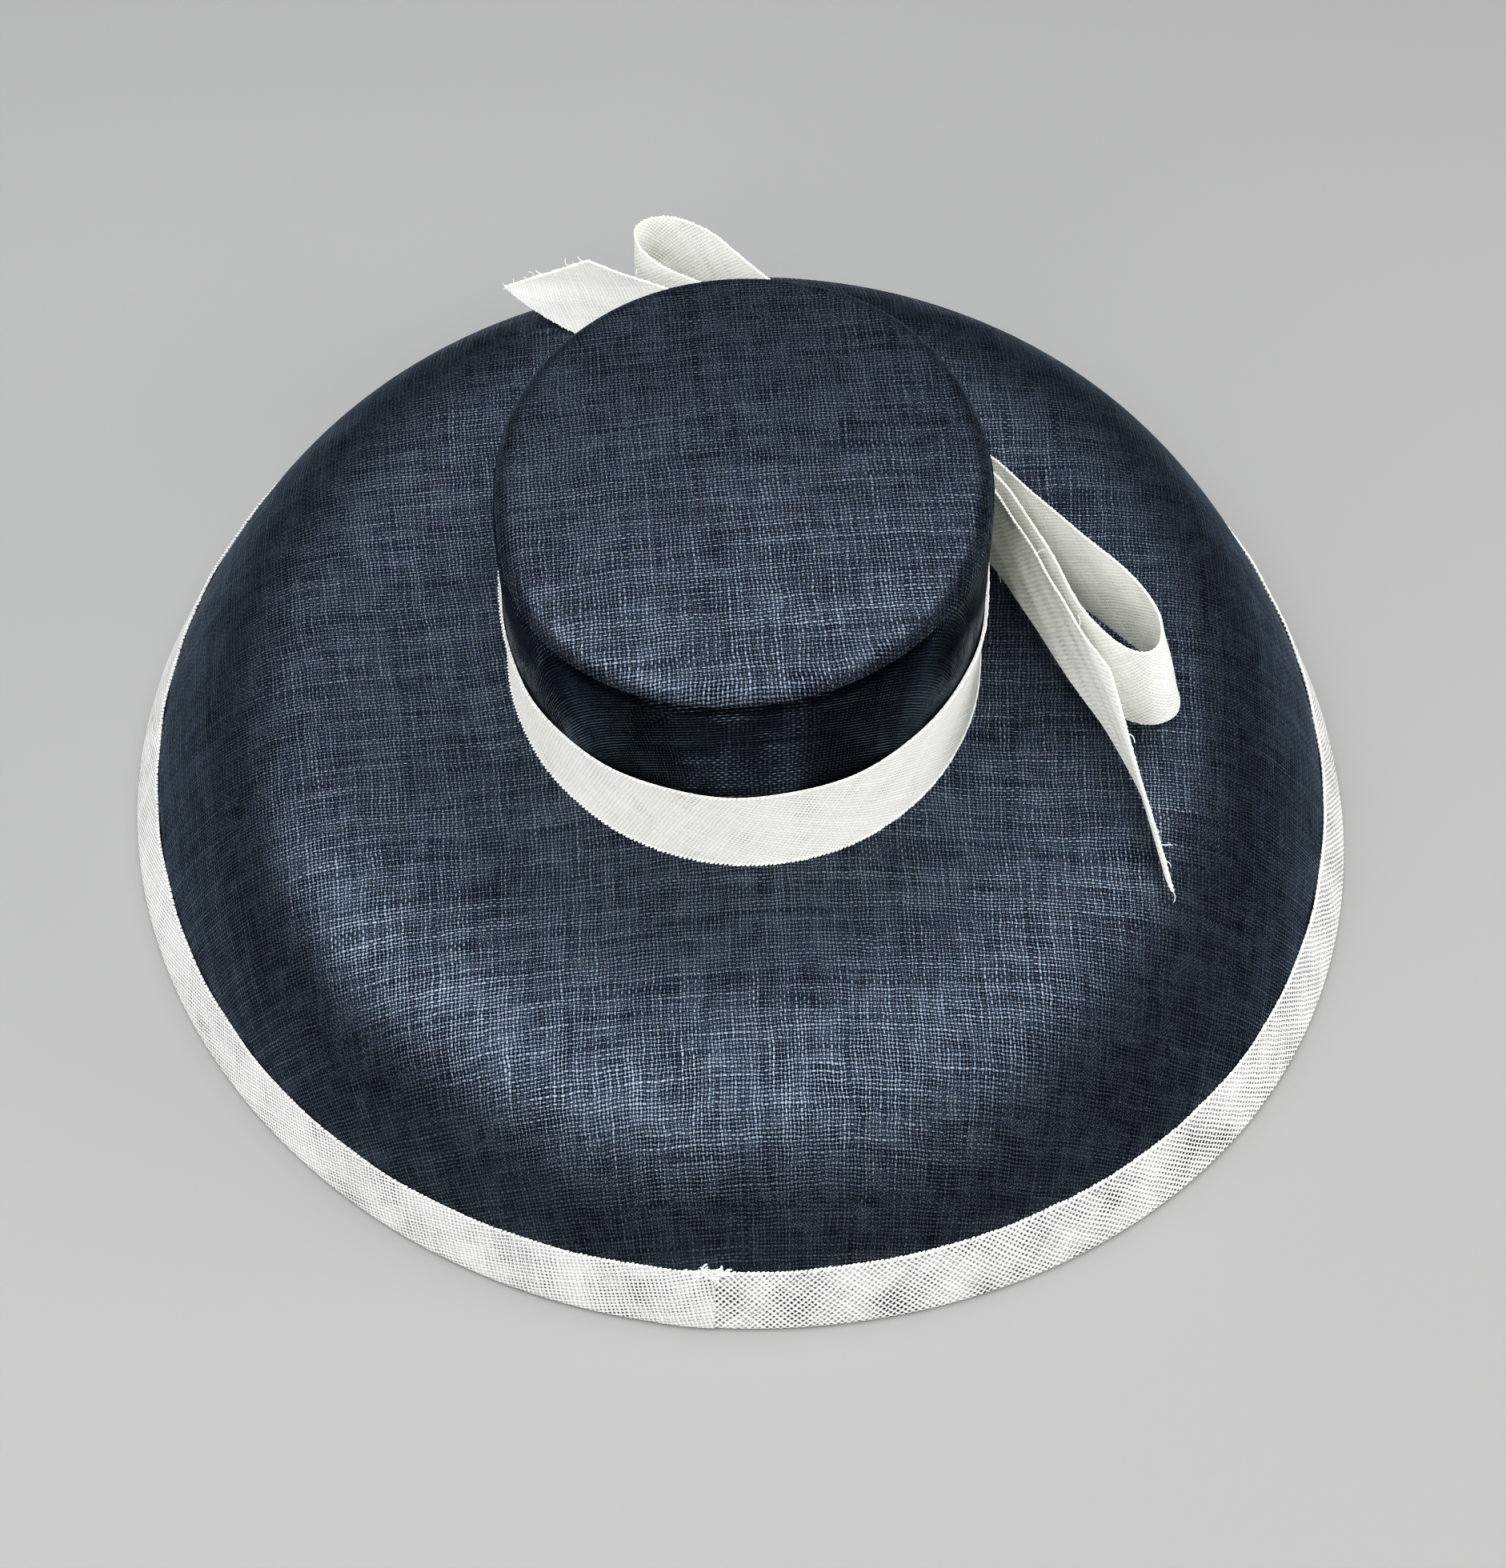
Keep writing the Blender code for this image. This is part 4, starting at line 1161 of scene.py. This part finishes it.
# name, place, aims at, width, height, power, colour
lamps = [
    ("overhead", (-0.27, 0.00, 1.50), (-0.27, 0.00, 0.0), 2.3, 1.85, 84.0, (0.97, 0.98, 1.0)),
    ("stripLeft", (-0.42, -1.10, 0.95), atHat, 0.16, 0.9, 9.0, warm),
    ("stripRight", (0.38, -1.10, 0.95), atHat, 0.16, 0.9, 6.4, warm),
    ("frontLeft", (-0.95, -0.95, 0.65), atHat, 0.8, 0.7, 12.5, warm),
    ("sideLeft", (-1.30, -0.20, 0.65), atHat, 0.9, 0.8, 5.5, warm),
    ("sideRight", (1.30, -0.40, 0.60), atHat, 0.9, 0.7, 28.0, warm),
    ("wash", (0.0, 0.0, 5.0), (0.0, 0.0, 0.0), 12.0, 12.0, 260.0, (1.0, 1.0, 1.0)),
]


def makeStudio():
    half = studio["floorHalf"]
    mesh = bpy.data.meshes.new("floor")
    mesh.from_pydata([(-half, -half, 0), (half, -half, 0), (half, half, 0), (-half, half, 0)], [], [(0, 1, 2, 3)])
    material = bpy.data.materials.new("paleFloor")
    material.use_nodes = True
    shader = material.node_tree.nodes["Principled BSDF"]
    shader.inputs["Base Color"].default_value = opaque(studio["floorColor"])
    shader.inputs["Roughness"].default_value = studio["floorRough"]
    mesh.materials.append(material)
    addPiece("floor", mesh)
    world = bpy.data.worlds.new("softRoom")
    world.use_nodes = True
    ground = world.node_tree.nodes["Background"]
    ground.inputs[0].default_value = opaque(studio["worldColor"])
    ground.inputs[1].default_value = studio["worldStrength"]
    bpy.context.scene.world = world
    for name, place, aim, width, height, power, color in lamps:
        data = bpy.data.lights.new(name, "AREA")
        data.shape = "RECTANGLE"
        data.size, data.size_y = width, height
        data.energy = power
        data.color = color
        lamp = addPiece(name, data)
        lamp.location = place
        lamp.rotation_euler = (Vector(aim) - Vector(place)).to_track_quat("-Z", "Y").to_euler()
        lamp.visible_glossy = name not in studio["fillOnly"]


def makeCamera():
    rise, swing, roll = studio["elevation"], studio["swing"], studio["roll"]
    back = Vector((math.sin(swing) * math.cos(rise), -math.cos(swing) * math.cos(rise), math.sin(rise)))
    right = Vector((0, 0, 1)).cross(back).normalized()
    up = back.cross(right)
    turnedRight = right * math.cos(roll) + up * math.sin(roll)
    turnedUp = up * math.cos(roll) - right * math.sin(roll)
    data = bpy.data.cameras.new("photoCamera")
    data.sensor_width = studio["sensorWidth"]
    data.lens = studio["focalPixels"] / studio["imageHeight"] * studio["sensorWidth"]
    data.clip_start = 0.01
    camera = addPiece("photoCamera", data)
    matrix = camera.matrix_world.copy()
    spot = Vector(studio["target"]) + back * studio["distance"]
    for column, axis in enumerate((turnedRight, turnedUp, back, spot)):
        for row in range(3):
            matrix[row][column] = axis[row]
    camera.matrix_world = matrix
    bpy.context.scene.camera = camera


def softenHighlights():
    # bright cloth rolls off towards white as on a camera, dark cloth stays as it is
    view = bpy.context.scene.view_settings
    view.view_transform = "Standard"
    view.gamma = studio["gamma"]
    view.use_curve_mapping = True
    mapping = view.curve_mapping
    mapping.white_level = (studio["whiteLevel"],) * 3
    curve = mapping.curves[3]
    for light, shown in studio["rollOff"]:
        curve.points.new(light / studio["whiteLevel"], shown)
    mapping.update()


makeStudio()
makeCamera()
softenHighlights()
print("floor, lights and camera made")
